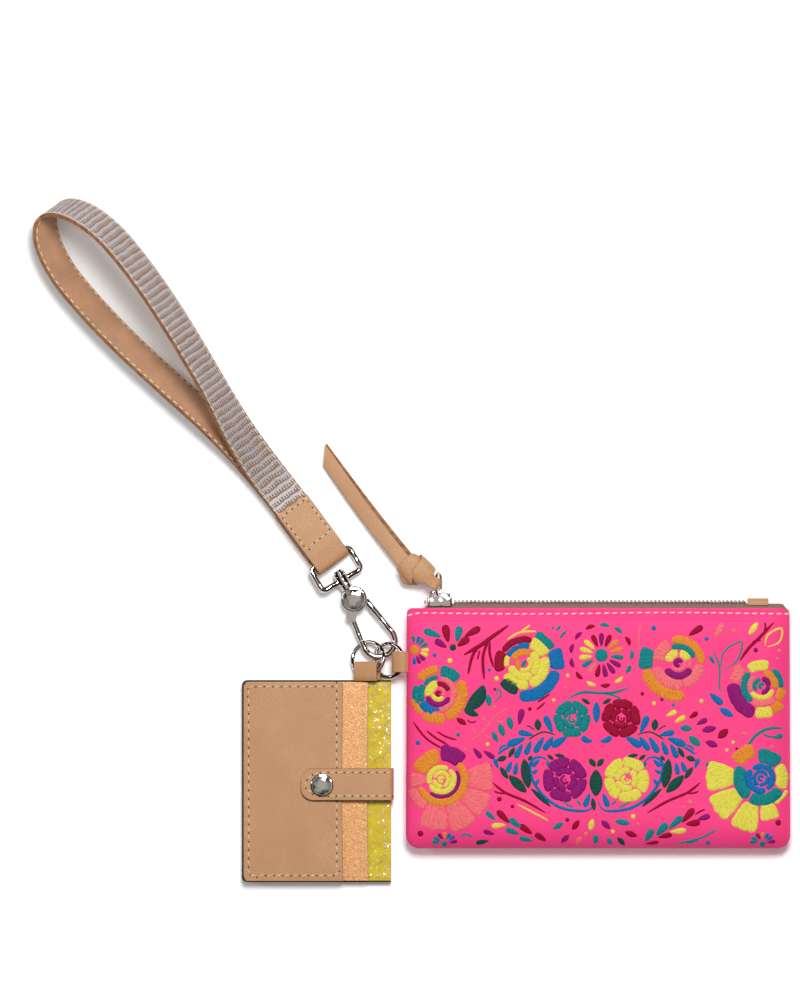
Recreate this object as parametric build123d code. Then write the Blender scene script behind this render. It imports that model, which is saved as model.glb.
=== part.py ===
from build123d import *
import os
from math import acos, atan2, cos, degrees, hypot, pi, radians, sin, tan

# Wristlet wallet: a soft leather zip pouch, a flat card case and a looped wrist strap, all held by
# one swivel snap hook. Millimetres, +Z up. The origin is the centre of the pouch's underside, +Y
# points to the zip and +X to the end of the pouch where the zip ends in a leather tab.

# Pouch
TOP_Y, BOTTOM_Y = 59.5, -60.5
TOP_HALF_X, BOTTOM_HALF_X = 95.6, 96.0
TOP_CORNER_R, BOTTOM_CORNER_R = 2.5, 6.5
SEAM_Z = 9.0                      # height of the side seams where front and back meet
LEATHER_T, LINING_T, SKIN_GAP = 1.4, 0.5, 0.05
# How far each contour of a panel stands in from the seam, and how far it stands off it.
FRONT_PROFILE = [(0, 0.03), (0.5, 2.2), (2.8, 5.0), (8, 7.4), (18, 8.9)]
BACK_PROFILE = [(0, 0.03), (0.5, 2.4), (2.5, 5.2), (6.5, 7.8), (12, 9.0)]

# Zip, closed, along the pouch's top edge
MOUTH_X = (-87.5, 94.2)
MOUTH_HALF_Z = 1.9
TAPE_Y = (50.5, 61.6)
TAPE_X = (-87.0, 94.0)
TAPE_OFF, TAPE_T = 1.2, 0.6
TOOTH_X = (-72.0, 73.4)
TOOTH_PITCH, TOOTH_W = 2.0, 0.9
TOOTH_TOP = 63.8
TOOTH_INNER, TOOTH_OUTER = -0.4, 2.6
SLIDER_X = (-85.5, -72.8)
BRIDGE_R, BRIDGE_Y = 0.7, 67.6
PULL_X, PULL_R, PULL_HALF, PULL_Y = -79.7, 0.65, 3.2, (65.85, 77.15)
PULL_TILT = -20
STOP_X, STOP_SPAN = (-87.0, -86.0), (0.9, 2.2)
END_TAB_X, END_TAB_Y, END_TAB_HALF = (74.5, 85.0), (61.3, 64.5), 3.1
SLIDER_Y, SLIDER_HALF, SLIDER_CORNER = (60.6, 64.9), 3.8, 1.5

# Thong: one leather strip folded through the pull ring, knotted, with two tails side by side
THONG_T, THONG_W = 1.2, 7.2
KNOT = (-91.0, 76.8)
KNOT_HALF = (10.2, 8.4)
KNOT_Z = (2.4, 12.2)
TAIL_ANGLE, TAIL_LENGTH, TAIL_STEP = 127.4, 74.0, 1.9

# Rings and the hook that links them
HOOK_Z = 4.6                      # height of the hook's middle plane
RING_R, RING_WIRE = 8.4, 1.05
POUCH_RING = (-104.65, 33.4, 5.77)
POUCH_RING_TILT = 31.8
CARD_RING = (-115.0, 34.35, HOOK_Z + 0.25)
CARD_RING_HEADING, CARD_RING_TILT = -32.2, 26.0
HOOK_CENTRE = (-122.0, 64.0)
HOOK_HEADING = -59.24             # from the disc towards the bow
HOOK_WIRE, BOW_R, BOW_ALONG = 1.5, 8.0, 24.4
DISC_R, DISC_HALF, CAP_T = 6.5, 1.8, 1.7
ARM_ROOT = (3.5, 4.9)
GATE_PIVOT, GATE_TIP = (6.6, -5.4), (19.6, -7.55)
GATE_WIRE, EYE_R, LUG_R, PIN_R, PIN_FIT = 1.35, 2.2, 2.6, 0.8, 0.05
GATE_EYE_HALF, GATE_SLOT_HALF = 0.9, 1.0
POST_R, POST_FIT = 1.7, 0.08
BAIL_LOW, BAIL_HIGH, BAIL_SIDE = -11.1, -24.0, 11.45
BAIL_WIRE, BAIL_CORNER = 1.45, 2.4
ROLL = 12                         # bail and strap root lean this far, right side down

# Strap
STRAP_HEADING = 126.5
STRAP_HALF_W, OUTER_T, INNER_T = 9.2, 1.2, 1.0
WRAP_HALF_W, WRAP_T, WRAP_END, WRAP_SLACK, WRAP_TAPER = 9.4, 1.2, 32.3, 1.3, 6.0
ROOT_ALONG, SPREAD_ALONG, WIDE_ALONG, END_ALONG = 5.0, 36.0, 185.0, 222.0
LOOP_HALF = 22.0
LOOP_ROLL = 45
LOOP_BOW = 8.7                    # sideways drift of the loop's far end
TABLE_GAP = 0.25

# Card case: layers from the table upwards, each a plate with a rim that makes its pocket
CASE_X, CASE_Y = (-178.0, -103.5), (-77.5, 23.5)
CASE_CORNER, RIM_W = 2.6, 3.0
COPPER_EDGE, TAN_EDGE = -114.9, -127.5
CARD_GAP = 0.5
CASE_PLATES = (
    ("window", 0.9),
    ("back", 0.9),
    ("board", 0.6),
    ("glitter", 0.6),
    ("copper", 0.8),
    ("tan", 1.1),
)
WINDOW_X, WINDOW_Y, WINDOW_CORNER = (-165, -117), (-62, 8), 5
TAB_Y = (-36.5, -20.5)
TAB_LEFT, TAB_RIGHT, TAB_T, TAB_UNDER, TAB_FOOT = -148.2, -102.2, 1.1, 9.0, 2.2
SNAP = (-138.0, -28.85)
SNAP_R = 5.65


def block(x, y, z):
    """Box from three (low, high) pairs."""
    size = Box(x[1] - x[0], y[1] - y[0], z[1] - z[0])
    return Pos((x[0] + x[1]) / 2, (y[0] + y[1]) / 2, (z[0] + z[1]) / 2) * size


def disc(x, y, z, radius):
    """Upright cylinder between two heights."""
    return Pos(x, y, (z[0] + z[1]) / 2) * Cylinder(radius, z[1] - z[0])


def stadium(start, end, radius):
    """Flat shape with straight sides and a half circle at each end."""
    run = (end[0] - start[0], end[1] - start[1])
    middle = ((start[0] + end[0]) / 2, (start[1] + end[1]) / 2, 0)
    turned = Location(middle, (0, 0, degrees(atan2(run[1], run[0]))))
    return turned * SlotCenterToCenter(hypot(*run), 2 * radius)


def along_y(section, y):
    """A section drawn in X and Z, made solid from y[0] to y[1]."""
    return Pos(0, y[0], 0) * extrude(Plane.XZ * section, y[1] - y[0], dir=(0, 1, 0))


def polygon(*points):
    return make_face(Polyline(*points, close=True))


def rod(start, end, radius):
    """Round bar between two points."""
    path = Line(start, end)
    return sweep(Plane(origin=start, z_dir=path % 0) * Circle(radius), path=path)


# ---------------------------------------------------------------- pouch

def pouch_contour(inset, z):
    """Rounded outline of the pouch, moved in by inset, at height z."""
    top, bottom = TOP_Y - inset, BOTTOM_Y + inset
    half_top, half_bottom = TOP_HALF_X - inset, BOTTOM_HALF_X - inset
    face = polygon((-half_top, top), (half_top, top), (half_bottom, bottom), (-half_bottom, bottom))
    corners = face.vertices().sort_by(Axis.Y)
    face = fillet(corners[:2], BOTTOM_CORNER_R)
    face = fillet(face.vertices().sort_by(Axis.Y)[-2:], TOP_CORNER_R)
    return Pos(0, 0, z) * face


def deeper(profile, depth):
    """The profile moved inwards by depth, square to its own run."""
    moved = []
    for i, (inset, rise) in enumerate(profile):
        before, after = profile[max(i - 1, 0)], profile[min(i + 1, len(profile) - 1)]
        run = (after[0] - before[0], after[1] - before[1])
        if i == 0:
            run = (0, 1)
        if i == len(profile) - 1:
            run = (1, 0)
        length = hypot(*run)
        moved.append((inset + depth * run[1] / length, rise - depth * run[0] / length))
    return moved


def bowl(profile, side):
    """Solid between the seam and the crown; side is 1 for the front and -1 for the back."""
    return loft([pouch_contour(inset, SEAM_Z + side * rise) for inset, rise in profile], ruled=True)


def mouth():
    return block(MOUTH_X, (50, 64), (SEAM_Z - MOUTH_HALF_Z, SEAM_Z + MOUTH_HALF_Z))


def panel(profile, side):
    return bowl(profile, side) - bowl(deeper(profile, LEATHER_T), side) - mouth()


def lining(profile, side):
    skin = LEATHER_T + SKIN_GAP
    outside, inside = deeper(profile, skin), deeper(profile, skin + LINING_T)
    return bowl(outside, side) - bowl(inside, side) - mouth()


def ring_tab():
    """Leather loop sewn into the pouch's left seam; its tunnel follows the tilted ring."""
    slope = tan(radians(POUCH_RING_TILT))
    high = (-97.3, 10.3)
    low = (-100.4, high[1] - slope * (high[0] + 100.4))
    tunnel_r, wall = 1.7, 1.1
    tab = along_y(stadium(low, high, tunnel_r + wall) - stadium(low, high, tunnel_r), (27.2, 38.0))
    return tab - bowl(FRONT_PROFILE, 1) - bowl(BACK_PROFILE, -1)


# ---------------------------------------------------------------- zip

def across(side, low, high):
    """A stretch of Z on one side of the seam plane."""
    return tuple(sorted((SEAM_Z + side * low, SEAM_Z + side * high)))


def tape(side):
    return block(TAPE_X, TAPE_Y, across(side, TAPE_OFF, TAPE_OFF + TAPE_T))


def teeth(side):
    """One row of teeth; the two rows are half a pitch apart so that they mesh."""
    shift = 0 if side > 0 else TOOTH_PITCH / 2
    count = int((TOOTH_X[1] - TOOTH_X[0]) / TOOTH_PITCH)
    row = []
    for i in range(count):
        x = TOOTH_X[0] + shift + i * TOOTH_PITCH
        span = across(side, TOOTH_INNER, TOOTH_OUTER)
        row.append(block((x, x + TOOTH_W), (TAPE_Y[1], TOOTH_TOP), span))
    return Compound(children=row)


def zip_stops():
    """Two small metal clips that stop the slider at the closed end."""
    clips = []
    for side in (1, -1):
        clips.append(block(STOP_X, (TAPE_Y[1], TOOTH_TOP - 0.4), across(side, *STOP_SPAN)))
    return Compound(children=clips)


def end_tab():
    """Leather tab folded over the end of the chain."""
    tab = block(END_TAB_X, END_TAB_Y, (SEAM_Z - END_TAB_HALF, SEAM_Z + END_TAB_HALF))
    edge = tab.edges().filter_by(Axis.X).sort_by(Axis.Y)[-2:]
    tab = fillet(edge, 1.2)
    for side in (1, -1):
        slot = across(side, TAPE_OFF - 0.05, TAPE_OFF + TAPE_T + 0.05)
        tab -= block((70, 90), (60, TAPE_Y[1] + 0.05), slot)
    return tab


def slider_body():
    """Channel that holds both rows of teeth from outside, with lips under the outer teeth."""
    body = block(SLIDER_X, SLIDER_Y, (SEAM_Z - SLIDER_HALF, SEAM_Z + SLIDER_HALF))
    body = fillet(body.edges().filter_by(Axis.Y), SLIDER_CORNER)
    through = (SLIDER_X[0] - 5, SLIDER_X[1] + 5)
    teeth_room, tape_room = TOOTH_OUTER + 0.3, TAPE_OFF + TAPE_T + 0.3
    body -= block(through, (TAPE_Y[1] - 0.2, TOOTH_TOP + 0.2), (SEAM_Z - teeth_room, SEAM_Z + teeth_room))
    return body - block(through, (60, TAPE_Y[1] - 0.1), (SEAM_Z - tape_room, SEAM_Z + tape_room))


def slider_bridge():
    left, right, foot = SLIDER_X[0] + 1.6, SLIDER_X[1] - 1.8, SLIDER_Y[1]
    path = FilletPolyline((left, foot), (left, BRIDGE_Y), (right, BRIDGE_Y), (right, foot), radius=1.6)
    path = Pos(0, 0, SEAM_Z) * path
    return sweep(Plane(origin=path @ 0, z_dir=path % 0) * Circle(BRIDGE_R), path=path)


def pull_ring():
    """Oval wire ring that stands across the zip, hanging from the bridge."""
    low, high = PULL_Y[0] + PULL_HALF, PULL_Y[1] - PULL_HALF
    middle = (low + high) / 2
    half = (high - low) / 2
    lines = [Line((PULL_HALF, -half), (PULL_HALF, half)), Line((-PULL_HALF, half), (-PULL_HALF, -half))]
    arcs = [CenterArc((0, half), PULL_HALF, 0, 180), CenterArc((0, -half), PULL_HALF, 180, 180)]
    path = Wire([lines[0], arcs[0], lines[1], arcs[1]])
    ring = sweep(Plane(origin=path @ 0, z_dir=path % 0) * Circle(PULL_R), path=path)
    upright = Location((PULL_X, middle, SEAM_Z), (0, PULL_TILT, 0)) * Location((0, 0, 0), (0, 90, 0))
    return upright * ring


def thong():
    """Folded strip, knot and two tails, as one piece of leather."""
    lean = radians(PULL_TILT)
    wire = (PULL_X + PULL_HALF * sin(lean), SEAM_Z + PULL_HALF * cos(lean))
    inner, outer = PULL_R + 0.15, PULL_R + 0.15 + 1.1
    fold = Pos(*wire) * (Circle(outer) - Circle(inner))
    fold -= Pos(wire[0] - outer, wire[1]) * Rectangle(2 * outer, 3 * outer)
    drop, reach = 2.4, 8.0
    legs = Sketch()
    for near, far in ((inner, outer), (-outer, -inner)):
        legs += polygon(
            (wire[0], wire[1] + near),
            (wire[0], wire[1] + far),
            (wire[0] - reach, wire[1] + far - drop),
            (wire[0] - reach, wire[1] + near - drop),
        )
    loop = along_y(fold + legs, (69.3, 73.7))
    knot = Location((*KNOT, KNOT_Z[0]), (0, 0, 140)) * extrude(Ellipse(*KNOT_HALF), KNOT_Z[1] - KNOT_Z[0])
    knot = fillet(knot.edges(), 2.6)
    return loop + knot + tail(1) + tail(-1)


def tail(side):
    """One tail, sloping from the knot to the table, cut slantwise at its tip."""
    low = TABLE_GAP if side < 0 else TABLE_GAP + THONG_T
    high = low + THONG_T
    rise = 4.2
    root, end = 2, TAIL_LENGTH + 9
    side_view = polygon((root, low + rise), (end, low), (end, high), (root, high + rise))
    slab = along_y(side_view, (-20, 20))
    middle = TAIL_STEP / 2 * side
    left, right = middle + THONG_W / 2, middle - THONG_W / 2
    near_tip, far_tip = TAIL_LENGTH - 3 * side, TAIL_LENGTH + 5 * side
    cut = polygon((root, left), (near_tip, left), (far_tip, right), (root, right))
    strip = slab & extrude(cut, 20, dir=(0, 0, 1))
    return Location((*KNOT, 0), (0, 0, TAIL_ANGLE)) * strip


# ---------------------------------------------------------------- rings and hook

def pouch_ring():
    return Location(POUCH_RING, (0, -POUCH_RING_TILT, 0)) * Torus(RING_R, RING_WIRE)


def card_ring():
    heading = Location(CARD_RING, (0, 0, CARD_RING_HEADING))
    return heading * Location((0, 0, 0), (0, -CARD_RING_TILT, 0)) * Torus(RING_R, RING_WIRE)


def card_ring_tab():
    """Leather loop above the card case, leaning with the ring that runs through its fold."""
    fold, tunnel_r, wall, lean = 30.0, 1.8, 1.0, 22.5
    outer = stadium((10, 0), (fold, 0), tunnel_r + wall)
    inner = stadium((10, 0), (fold, 0), tunnel_r)
    band = extrude(Plane.YZ * (outer - inner), 12.5, dir=(1, 0, 0))
    band = Location((-115.4, 0, 6.5), (0, -lean, 0)) * Pos(-6.25, 0, 0) * band
    return band - block((-140, -90), (0, CASE_Y[1] + 0.3), (-20, 40))


def on_hook(shape, roll=0):
    """Hook parts are drawn with X from the disc to the bow and Y to the right of it."""
    return Location((*HOOK_CENTRE, HOOK_Z), (0, 0, HOOK_HEADING)) * Location((0, 0, 0), (roll, 0, 0)) * shape


def bow_path():
    """Fixed arm, round bow and the short nose that the gate closes against."""
    reach = hypot(BOW_ALONG - ARM_ROOT[0], ARM_ROOT[1])
    back = atan2(ARM_ROOT[1], ARM_ROOT[0] - BOW_ALONG)
    touch = back - acos(BOW_R / reach)
    start = (BOW_ALONG + BOW_R * cos(touch), BOW_R * sin(touch))
    finish = (start[0], -start[1])
    arm = Line(ARM_ROOT, start)
    bow = ThreePointArc(start, (BOW_ALONG + BOW_R, 0), finish)
    nose_length = 3.2
    nose = Line(finish, (finish[0] - nose_length * sin(touch), finish[1] - nose_length * cos(touch)))
    return Wire([arm, bow, nose])


def hook_frame():
    path = bow_path()
    wire = sweep(Plane(origin=path @ 0, z_dir=path % 0) * Circle(HOOK_WIRE), path=path)
    body = disc(0, 0, (-DISC_HALF, DISC_HALF), DISC_R) + wire
    body += disc(*GATE_PIVOT, (-DISC_HALF, DISC_HALF), LUG_R)
    body += rod((-DISC_R + 0.2, 0, 0), (-8.6, 0, 0), 3.0)
    body -= disc(*GATE_PIVOT, (-GATE_SLOT_HALF, GATE_SLOT_HALF), LUG_R + 0.5)
    return body - disc(*GATE_PIVOT, (-4, 4), PIN_R + PIN_FIT)


def hook_cap(side):
    """Low dome that closes one face of the disc."""
    dome = disc(0, 0, (DISC_HALF, DISC_HALF + CAP_T), DISC_R - 0.3)
    dome = fillet(dome.edges().sort_by(Axis.Z)[-1], CAP_T * 0.8)
    return dome if side > 0 else Location((0, 0, 0), (180, 0, 0)) * dome


def hook_gate():
    run = (GATE_TIP[0] - GATE_PIVOT[0], GATE_TIP[1] - GATE_PIVOT[1])
    length = hypot(*run)
    lock = (-GATE_EYE_HALF, GATE_EYE_HALF)
    gate = disc(0, 0, lock, EYE_R) + block((0, 4.2), (-1.2, 1.2), lock)
    gate += rod((3.2, 0, 0), (length, 0, 0), GATE_WIRE)
    gate -= disc(0, 0, (-4, 4), PIN_R + PIN_FIT)
    return Location((*GATE_PIVOT, 0), (0, 0, degrees(atan2(run[1], run[0])))) * gate


def gate_pin():
    return disc(*GATE_PIVOT, (-DISC_HALF, DISC_HALF), PIN_R)


def gate_spring():
    """Curved leaf behind the gate's eye."""
    leaf = disc(*GATE_PIVOT, (-0.6, 0.6), LUG_R + 0.3) - disc(*GATE_PIVOT, (-1, 1), LUG_R)
    return leaf & block((-2, GATE_PIVOT[0] - 0.6), (GATE_PIVOT[1] - 0.2, 5), (-2, 2))


def swivel_post():
    """Post from the disc through the bail's boss, with a stepped button head."""
    post = rod((-8.6, 0, 0), (-14.0, 0, 0), POST_R)
    return post + rod((-13.5, 0, 0), (-15.1, 0, 0), 3.1) + rod((-15.1, 0, 0), (-16.4, 0, 0), 2.2)


def swivel_bail():
    low, high, side = BAIL_LOW, BAIL_HIGH, BAIL_SIDE
    frame = Pos((low + high) / 2, 0) * RectangleRounded(low - high, 2 * side, BAIL_CORNER)
    path = frame.face().outer_wire()
    wire = sweep(Plane(origin=path @ 0, z_dir=path % 0) * Circle(BAIL_WIRE), path=path)
    wire += rod((-8.9, 0, 0), (-13.3, 0, 0), 3.2)
    return wire - rod((-5, 0, 0), (-18, 0, 0), POST_R + POST_FIT)


# ---------------------------------------------------------------- strap

def smooth(value, low, high):
    """0 before low, 1 after high, and an S curve between."""
    part = min(max((value - low) / (high - low), 0), 1)
    return 0.5 - 0.5 * cos(pi * part)


def bar_centre():
    heading = radians(HOOK_HEADING)
    return (HOOK_CENTRE[0] + BAIL_HIGH * cos(heading), HOOK_CENTRE[1] + BAIL_HIGH * sin(heading))


def lean_at(along):
    return radians(ROLL + (LOOP_ROLL - ROLL) * smooth(along, 38, 112))


def strap_frame(along, spread):
    """Point on a ply's middle sheet, spread off the loop's axis, and its width direction."""
    heading, lean = radians(STRAP_HEADING), lean_at(along)
    ahead = Vector(cos(heading), sin(heading), 0)
    right = Vector(sin(heading), -cos(heading), 0)
    gap = abs(half_gap(along))
    low_side = (gap + OUTER_T + 0.1) * cos(lean) + STRAP_HALF_W * sin(lean) + TABLE_GAP
    drift = -LOOP_BOW * max((along - SPREAD_ALONG) / (END_ALONG - SPREAD_ALONG), 0) ** 1.15
    centre = Vector(*bar_centre(), max(HOOK_Z, low_side)) + ahead * along + right * drift
    normal = right * sin(lean) + Vector(0, 0, cos(lean))
    return centre + normal * spread, right * cos(lean) - Vector(0, 0, sin(lean))


def half_gap(along):
    """Half the distance between the two sides of the loop."""
    closed = INNER_T + 0.02
    if along <= WIDE_ALONG:
        return closed + (LOOP_HALF - closed) * smooth(along, SPREAD_ALONG, WIDE_ALONG)
    part = (along - WIDE_ALONG) / (END_ALONG - WIDE_ALONG)
    return LOOP_HALF * max(1 - part ** 2, 0) ** 0.5


def loop_stations():
    """(along, spread) from the upper root, round the far end, to the lower root."""
    steps, turns = 13, 7
    upper = [(ROOT_ALONG, half_gap(ROOT_ALONG))]
    for i in range(steps + 1):
        along = SPREAD_ALONG - 2 + (WIDE_ALONG - SPREAD_ALONG + 2) * i / steps
        upper.append((along, half_gap(along)))
    for i in range(1, turns):
        angle = pi / 2 * i / turns
        upper.append((WIDE_ALONG + (END_ALONG - WIDE_ALONG) * sin(angle), LOOP_HALF * cos(angle)))
    return upper + [(END_ALONG, 0)] + [(along, -spread) for along, spread in reversed(upper)]


def ply(inside, outside):
    """One layer of the strap between two distances out from its middle sheet."""
    frames = [strap_frame(along, spread) for along, spread in loop_stations()]
    sections = []
    for i, (point, width) in enumerate(frames):
        before, after = frames[max(i - 1, 0)][0], frames[min(i + 1, len(frames) - 1)][0]
        outward = width.cross(after - before).normalized()
        corners = []
        for side, depth in ((-1, inside), (1, inside), (1, outside), (-1, outside)):
            corners.append(point + width * STRAP_HALF_W * side + outward * depth)
        sections.append(Face(Wire.make_polygon(corners, close=True)))
    return Solid.make_loft([face.outer_wire() for face in sections], ruled=True)


def end_wrap():
    """Leather folded round the bail's bar and sewn over both ends of the strap."""
    bar = BAIL_WIRE + 0.35
    slack, taper = WRAP_SLACK, WRAP_TAPER
    stack = INNER_T + OUTER_T + 0.06
    outer = stadium((-slack, 0), (slack, 0), bar + WRAP_T)
    outer += polygon((slack, -bar - WRAP_T), (taper, -stack - WRAP_T), (WRAP_END, -stack - WRAP_T),
                     (WRAP_END, stack + WRAP_T), (taper, stack + WRAP_T), (slack, bar + WRAP_T))
    inner = stadium((-slack, 0), (slack, 0), bar)
    inner += polygon((slack, -bar), (ROOT_ALONG - 1, -stack), (WRAP_END + 1, -stack),
                     (WRAP_END + 1, stack), (ROOT_ALONG - 1, stack), (slack, bar))
    wrap = along_y(outer - inner, (-WRAP_HALF_W, WRAP_HALF_W))
    place = Location((*bar_centre(), HOOK_Z), (0, 0, STRAP_HEADING))
    return place * Location((0, 0, 0), (ROLL, 0, 0)) * wrap


# ---------------------------------------------------------------- card case

def case_layer(right, plate, rim, grow=0.0):
    """Plate between two heights with a rim under it on three sides, open towards +X."""
    x, y = (CASE_X[0] - grow, right), (CASE_Y[0] - grow, CASE_Y[1] + grow)
    layer = block(x, y, (plate[0] - rim, plate[1]))
    corners = layer.edges().filter_by(Axis.Z).sort_by(Axis.X)[:2]
    layer = fillet(corners, CASE_CORNER)
    if rim:
        pocket = ((x[0] + RIM_W, right + 1), (y[0] + RIM_W, y[1] - RIM_W))
        layer -= block(*pocket, (plate[0] - rim - 1, plate[0]))
    return layer


def case_levels():
    """Lowest and highest point of each plate, from the table up."""
    height, levels = TABLE_GAP - 0.05, {}
    for name, thickness in CASE_PLATES:
        levels[name] = (height, height + thickness)
        height += thickness + CARD_GAP
    return levels


CASE_LEVELS = case_levels()


def window_frame():
    plate = CASE_LEVELS["window"]
    frame = case_layer(CASE_X[1], plate, 0)
    hole = block(WINDOW_X, WINDOW_Y, (plate[0] - 1, plate[1] + 1))
    hole = fillet(hole.edges().filter_by(Axis.Z), WINDOW_CORNER)
    return frame - hole


def id_window():
    plate = CASE_LEVELS["window"]
    return block((CASE_X[0] + 3.2, CASE_X[1] - 0.8), (CASE_Y[0] + 3.2, CASE_Y[1] - 3.2),
                 (plate[1], plate[1] + 0.2))


def front_pocket():
    layer = case_layer(TAN_EDGE, CASE_LEVELS["tan"], CARD_GAP, -0.4)
    return layer - disc(*SNAP, (0, 20), 1.2)


def snap_stud():
    face = CASE_LEVELS["tan"][1]
    return disc(*SNAP, (face, face + 0.4), 4.0) + disc(*SNAP, (face + 0.4, face + 1.25), 1.7)


def snap_post():
    low, high = CASE_LEVELS["tan"]
    return disc(*SNAP, (low - 0.4, low), 3.2) + disc(*SNAP, (low, high), 1.2)


def snap_tab_root():
    """Foot of the snap tab, standing at the case's open edge."""
    return block((TAB_RIGHT - TAB_T, TAB_RIGHT), TAB_Y, (TAB_FOOT, TAB_UNDER - 0.1))


def snap_tab():
    """Leather tab that folds over the pockets to the snap."""
    strap = block((TAB_LEFT, TAB_RIGHT), TAB_Y, (TAB_UNDER, TAB_UNDER + TAB_T))
    tips = [edge for edge in strap.edges().filter_by(Axis.Z) if edge.center().X < TAB_LEFT + 1]
    strap = fillet(tips, 6.0)
    return strap - disc(*SNAP, (0, 20), 1.6)


def snap_cap():
    """Polished dome with a short barrel through the leather."""
    top = TAB_UNDER + TAB_T
    cap = disc(*SNAP, (top, top + 1.9), SNAP_R)
    cap = fillet(cap.edges().sort_by(Axis.Z)[-1], 1.6)
    return cap + disc(*SNAP, (TAB_UNDER, top), 1.6)


def snap_socket():
    return disc(*SNAP, (TAB_UNDER - 1.0, TAB_UNDER), 4.6) - disc(*SNAP, (0, TAB_UNDER - 0.1), 1.95)


# ---------------------------------------------------------------- all nodes

def all_nodes():
    level = CASE_LEVELS
    return {
        "pouch_front_panel": panel(FRONT_PROFILE, 1),
        "pouch_back_panel": panel(BACK_PROFILE, -1),
        "pouch_front_lining": lining(FRONT_PROFILE, 1),
        "pouch_back_lining": lining(BACK_PROFILE, -1),
        "pouch_ring_tab": ring_tab(),
        "zip_tape_front": tape(1),
        "zip_tape_back": tape(-1),
        "zip_teeth_front": teeth(1),
        "zip_teeth_back": teeth(-1),
        "zip_stops": zip_stops(),
        "zip_end_tab": end_tab(),
        "slider_body": slider_body(),
        "slider_bridge": slider_bridge(),
        "pull_ring": pull_ring(),
        "leather_thong": thong(),
        "pouch_ring": pouch_ring(),
        "card_ring": card_ring(),
        "card_ring_tab": card_ring_tab(),
        "hook_frame": on_hook(hook_frame()),
        "hook_front_cap": on_hook(hook_cap(1)),
        "hook_back_cap": on_hook(hook_cap(-1)),
        "hook_gate": on_hook(hook_gate()),
        "gate_pivot_pin": on_hook(gate_pin()),
        "gate_spring": on_hook(gate_spring()),
        "swivel_post": on_hook(swivel_post()),
        "swivel_bail": on_hook(swivel_bail(), -ROLL),
        "strap_outer_ply": ply(0, OUTER_T),
        "strap_lining_ply": ply(-INNER_T, 0),
        "strap_end_wrap": end_wrap(),
        "case_window_frame": window_frame(),
        "id_window": id_window(),
        "case_back_panel": case_layer(CASE_X[1], level["back"], CARD_GAP, 0.0),
        "case_centre_board": case_layer(CASE_X[1], level["board"], CARD_GAP, 0.0),
        "case_rear_pocket": case_layer(CASE_X[1], level["glitter"], CARD_GAP, -0.2),
        "case_middle_pocket": case_layer(COPPER_EDGE, level["copper"], CARD_GAP, -0.3),
        "case_front_pocket": front_pocket(),
        "snap_stud": snap_stud(),
        "snap_post": snap_post(),
        "snap_tab_root": snap_tab_root(),
        "snap_tab_strap": snap_tab(),
        "snap_cap": snap_cap(),
        "snap_socket": snap_socket(),
    }


os.makedirs("parts", exist_ok=True)
nodes = all_nodes()
for name, shape in nodes.items():
    export_step(shape, f"parts/{name}.step")
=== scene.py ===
import bpy
from math import ceil, cos, hypot, pi, radians, sin, sqrt
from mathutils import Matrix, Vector, noise
from mathutils.geometry import delaunay_2d_cdt


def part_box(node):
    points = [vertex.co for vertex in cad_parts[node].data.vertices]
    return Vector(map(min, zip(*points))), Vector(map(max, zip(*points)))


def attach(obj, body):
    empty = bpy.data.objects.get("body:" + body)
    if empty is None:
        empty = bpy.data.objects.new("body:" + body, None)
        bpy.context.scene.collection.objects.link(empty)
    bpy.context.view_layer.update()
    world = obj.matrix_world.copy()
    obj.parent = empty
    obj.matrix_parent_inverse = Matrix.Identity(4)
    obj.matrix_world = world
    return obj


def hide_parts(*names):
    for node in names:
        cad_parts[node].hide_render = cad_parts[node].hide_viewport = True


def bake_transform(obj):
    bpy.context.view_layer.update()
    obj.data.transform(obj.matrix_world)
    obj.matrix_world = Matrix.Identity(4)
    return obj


# Wristlet wallet: an embroidered zip pouch, a card case and a wrist strap on one swivel hook.
# Every place and size below is in millimetres; make_piece turns them into metres.

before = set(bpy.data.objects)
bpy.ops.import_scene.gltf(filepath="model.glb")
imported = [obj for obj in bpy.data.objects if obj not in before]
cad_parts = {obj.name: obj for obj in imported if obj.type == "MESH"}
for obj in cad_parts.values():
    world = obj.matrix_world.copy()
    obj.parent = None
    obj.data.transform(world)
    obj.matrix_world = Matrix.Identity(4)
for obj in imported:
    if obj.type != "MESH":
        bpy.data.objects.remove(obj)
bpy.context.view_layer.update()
MM = 0.001

# Pouch
TOP_Y, BOTTOM_Y, TOP_HALF_X, BOTTOM_HALF_X = 59.5, -60.5, 95.6, 96.0
TOP_CORNER_R, BOTTOM_CORNER_R, SEAM_Z = 2.5, 6.5, 9.0
FRONT_RISE, FRONT_REACH, FRONT_POWER = 8.9, 18.0, 2.4
BACK_RISE, BACK_REACH, BACK_POWER = 9.0, 12.0, 2.2
LEATHER_T, LINING_T, MOUTH_RISE = 1.3, 0.4, 3.15
MOUTH_X = (-87.5, 94.2)

# Hook, bail and strap, as the frame has them
HOOK_CENTRE, HOOK_HEADING, HOOK_Z = (-122.0, 64.0), -59.24, 4.6
BAIL_HIGH, ROLL, STRAP_HEADING = -24.0, 12.0, 126.5
STRAP_HALF_W, OUTER_T, INNER_T = 9.2, 1.2, 1.0
WRAP_HALF_W, WRAP_T, WRAP_END = 9.4, 1.2, 32.3
ROOT_ALONG, SPREAD_ALONG, WIDE_ALONG, END_ALONG = 5.0, 36.0, 185.0, 222.0
LOOP_HALF, LOOP_ROLL, LOOP_BOW, TABLE_GAP = 22.0, 45.0, 8.7, 0.25

# Thong
KNOT, TAIL_ANGLE, TAIL_LENGTH, TAIL_STEP = (-91.0, 76.8), 127.4, 74.0, 1.9
THONG_T, THONG_W = 1.2, 7.2


# ---------------------------------------------------------------- nodes and materials

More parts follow.
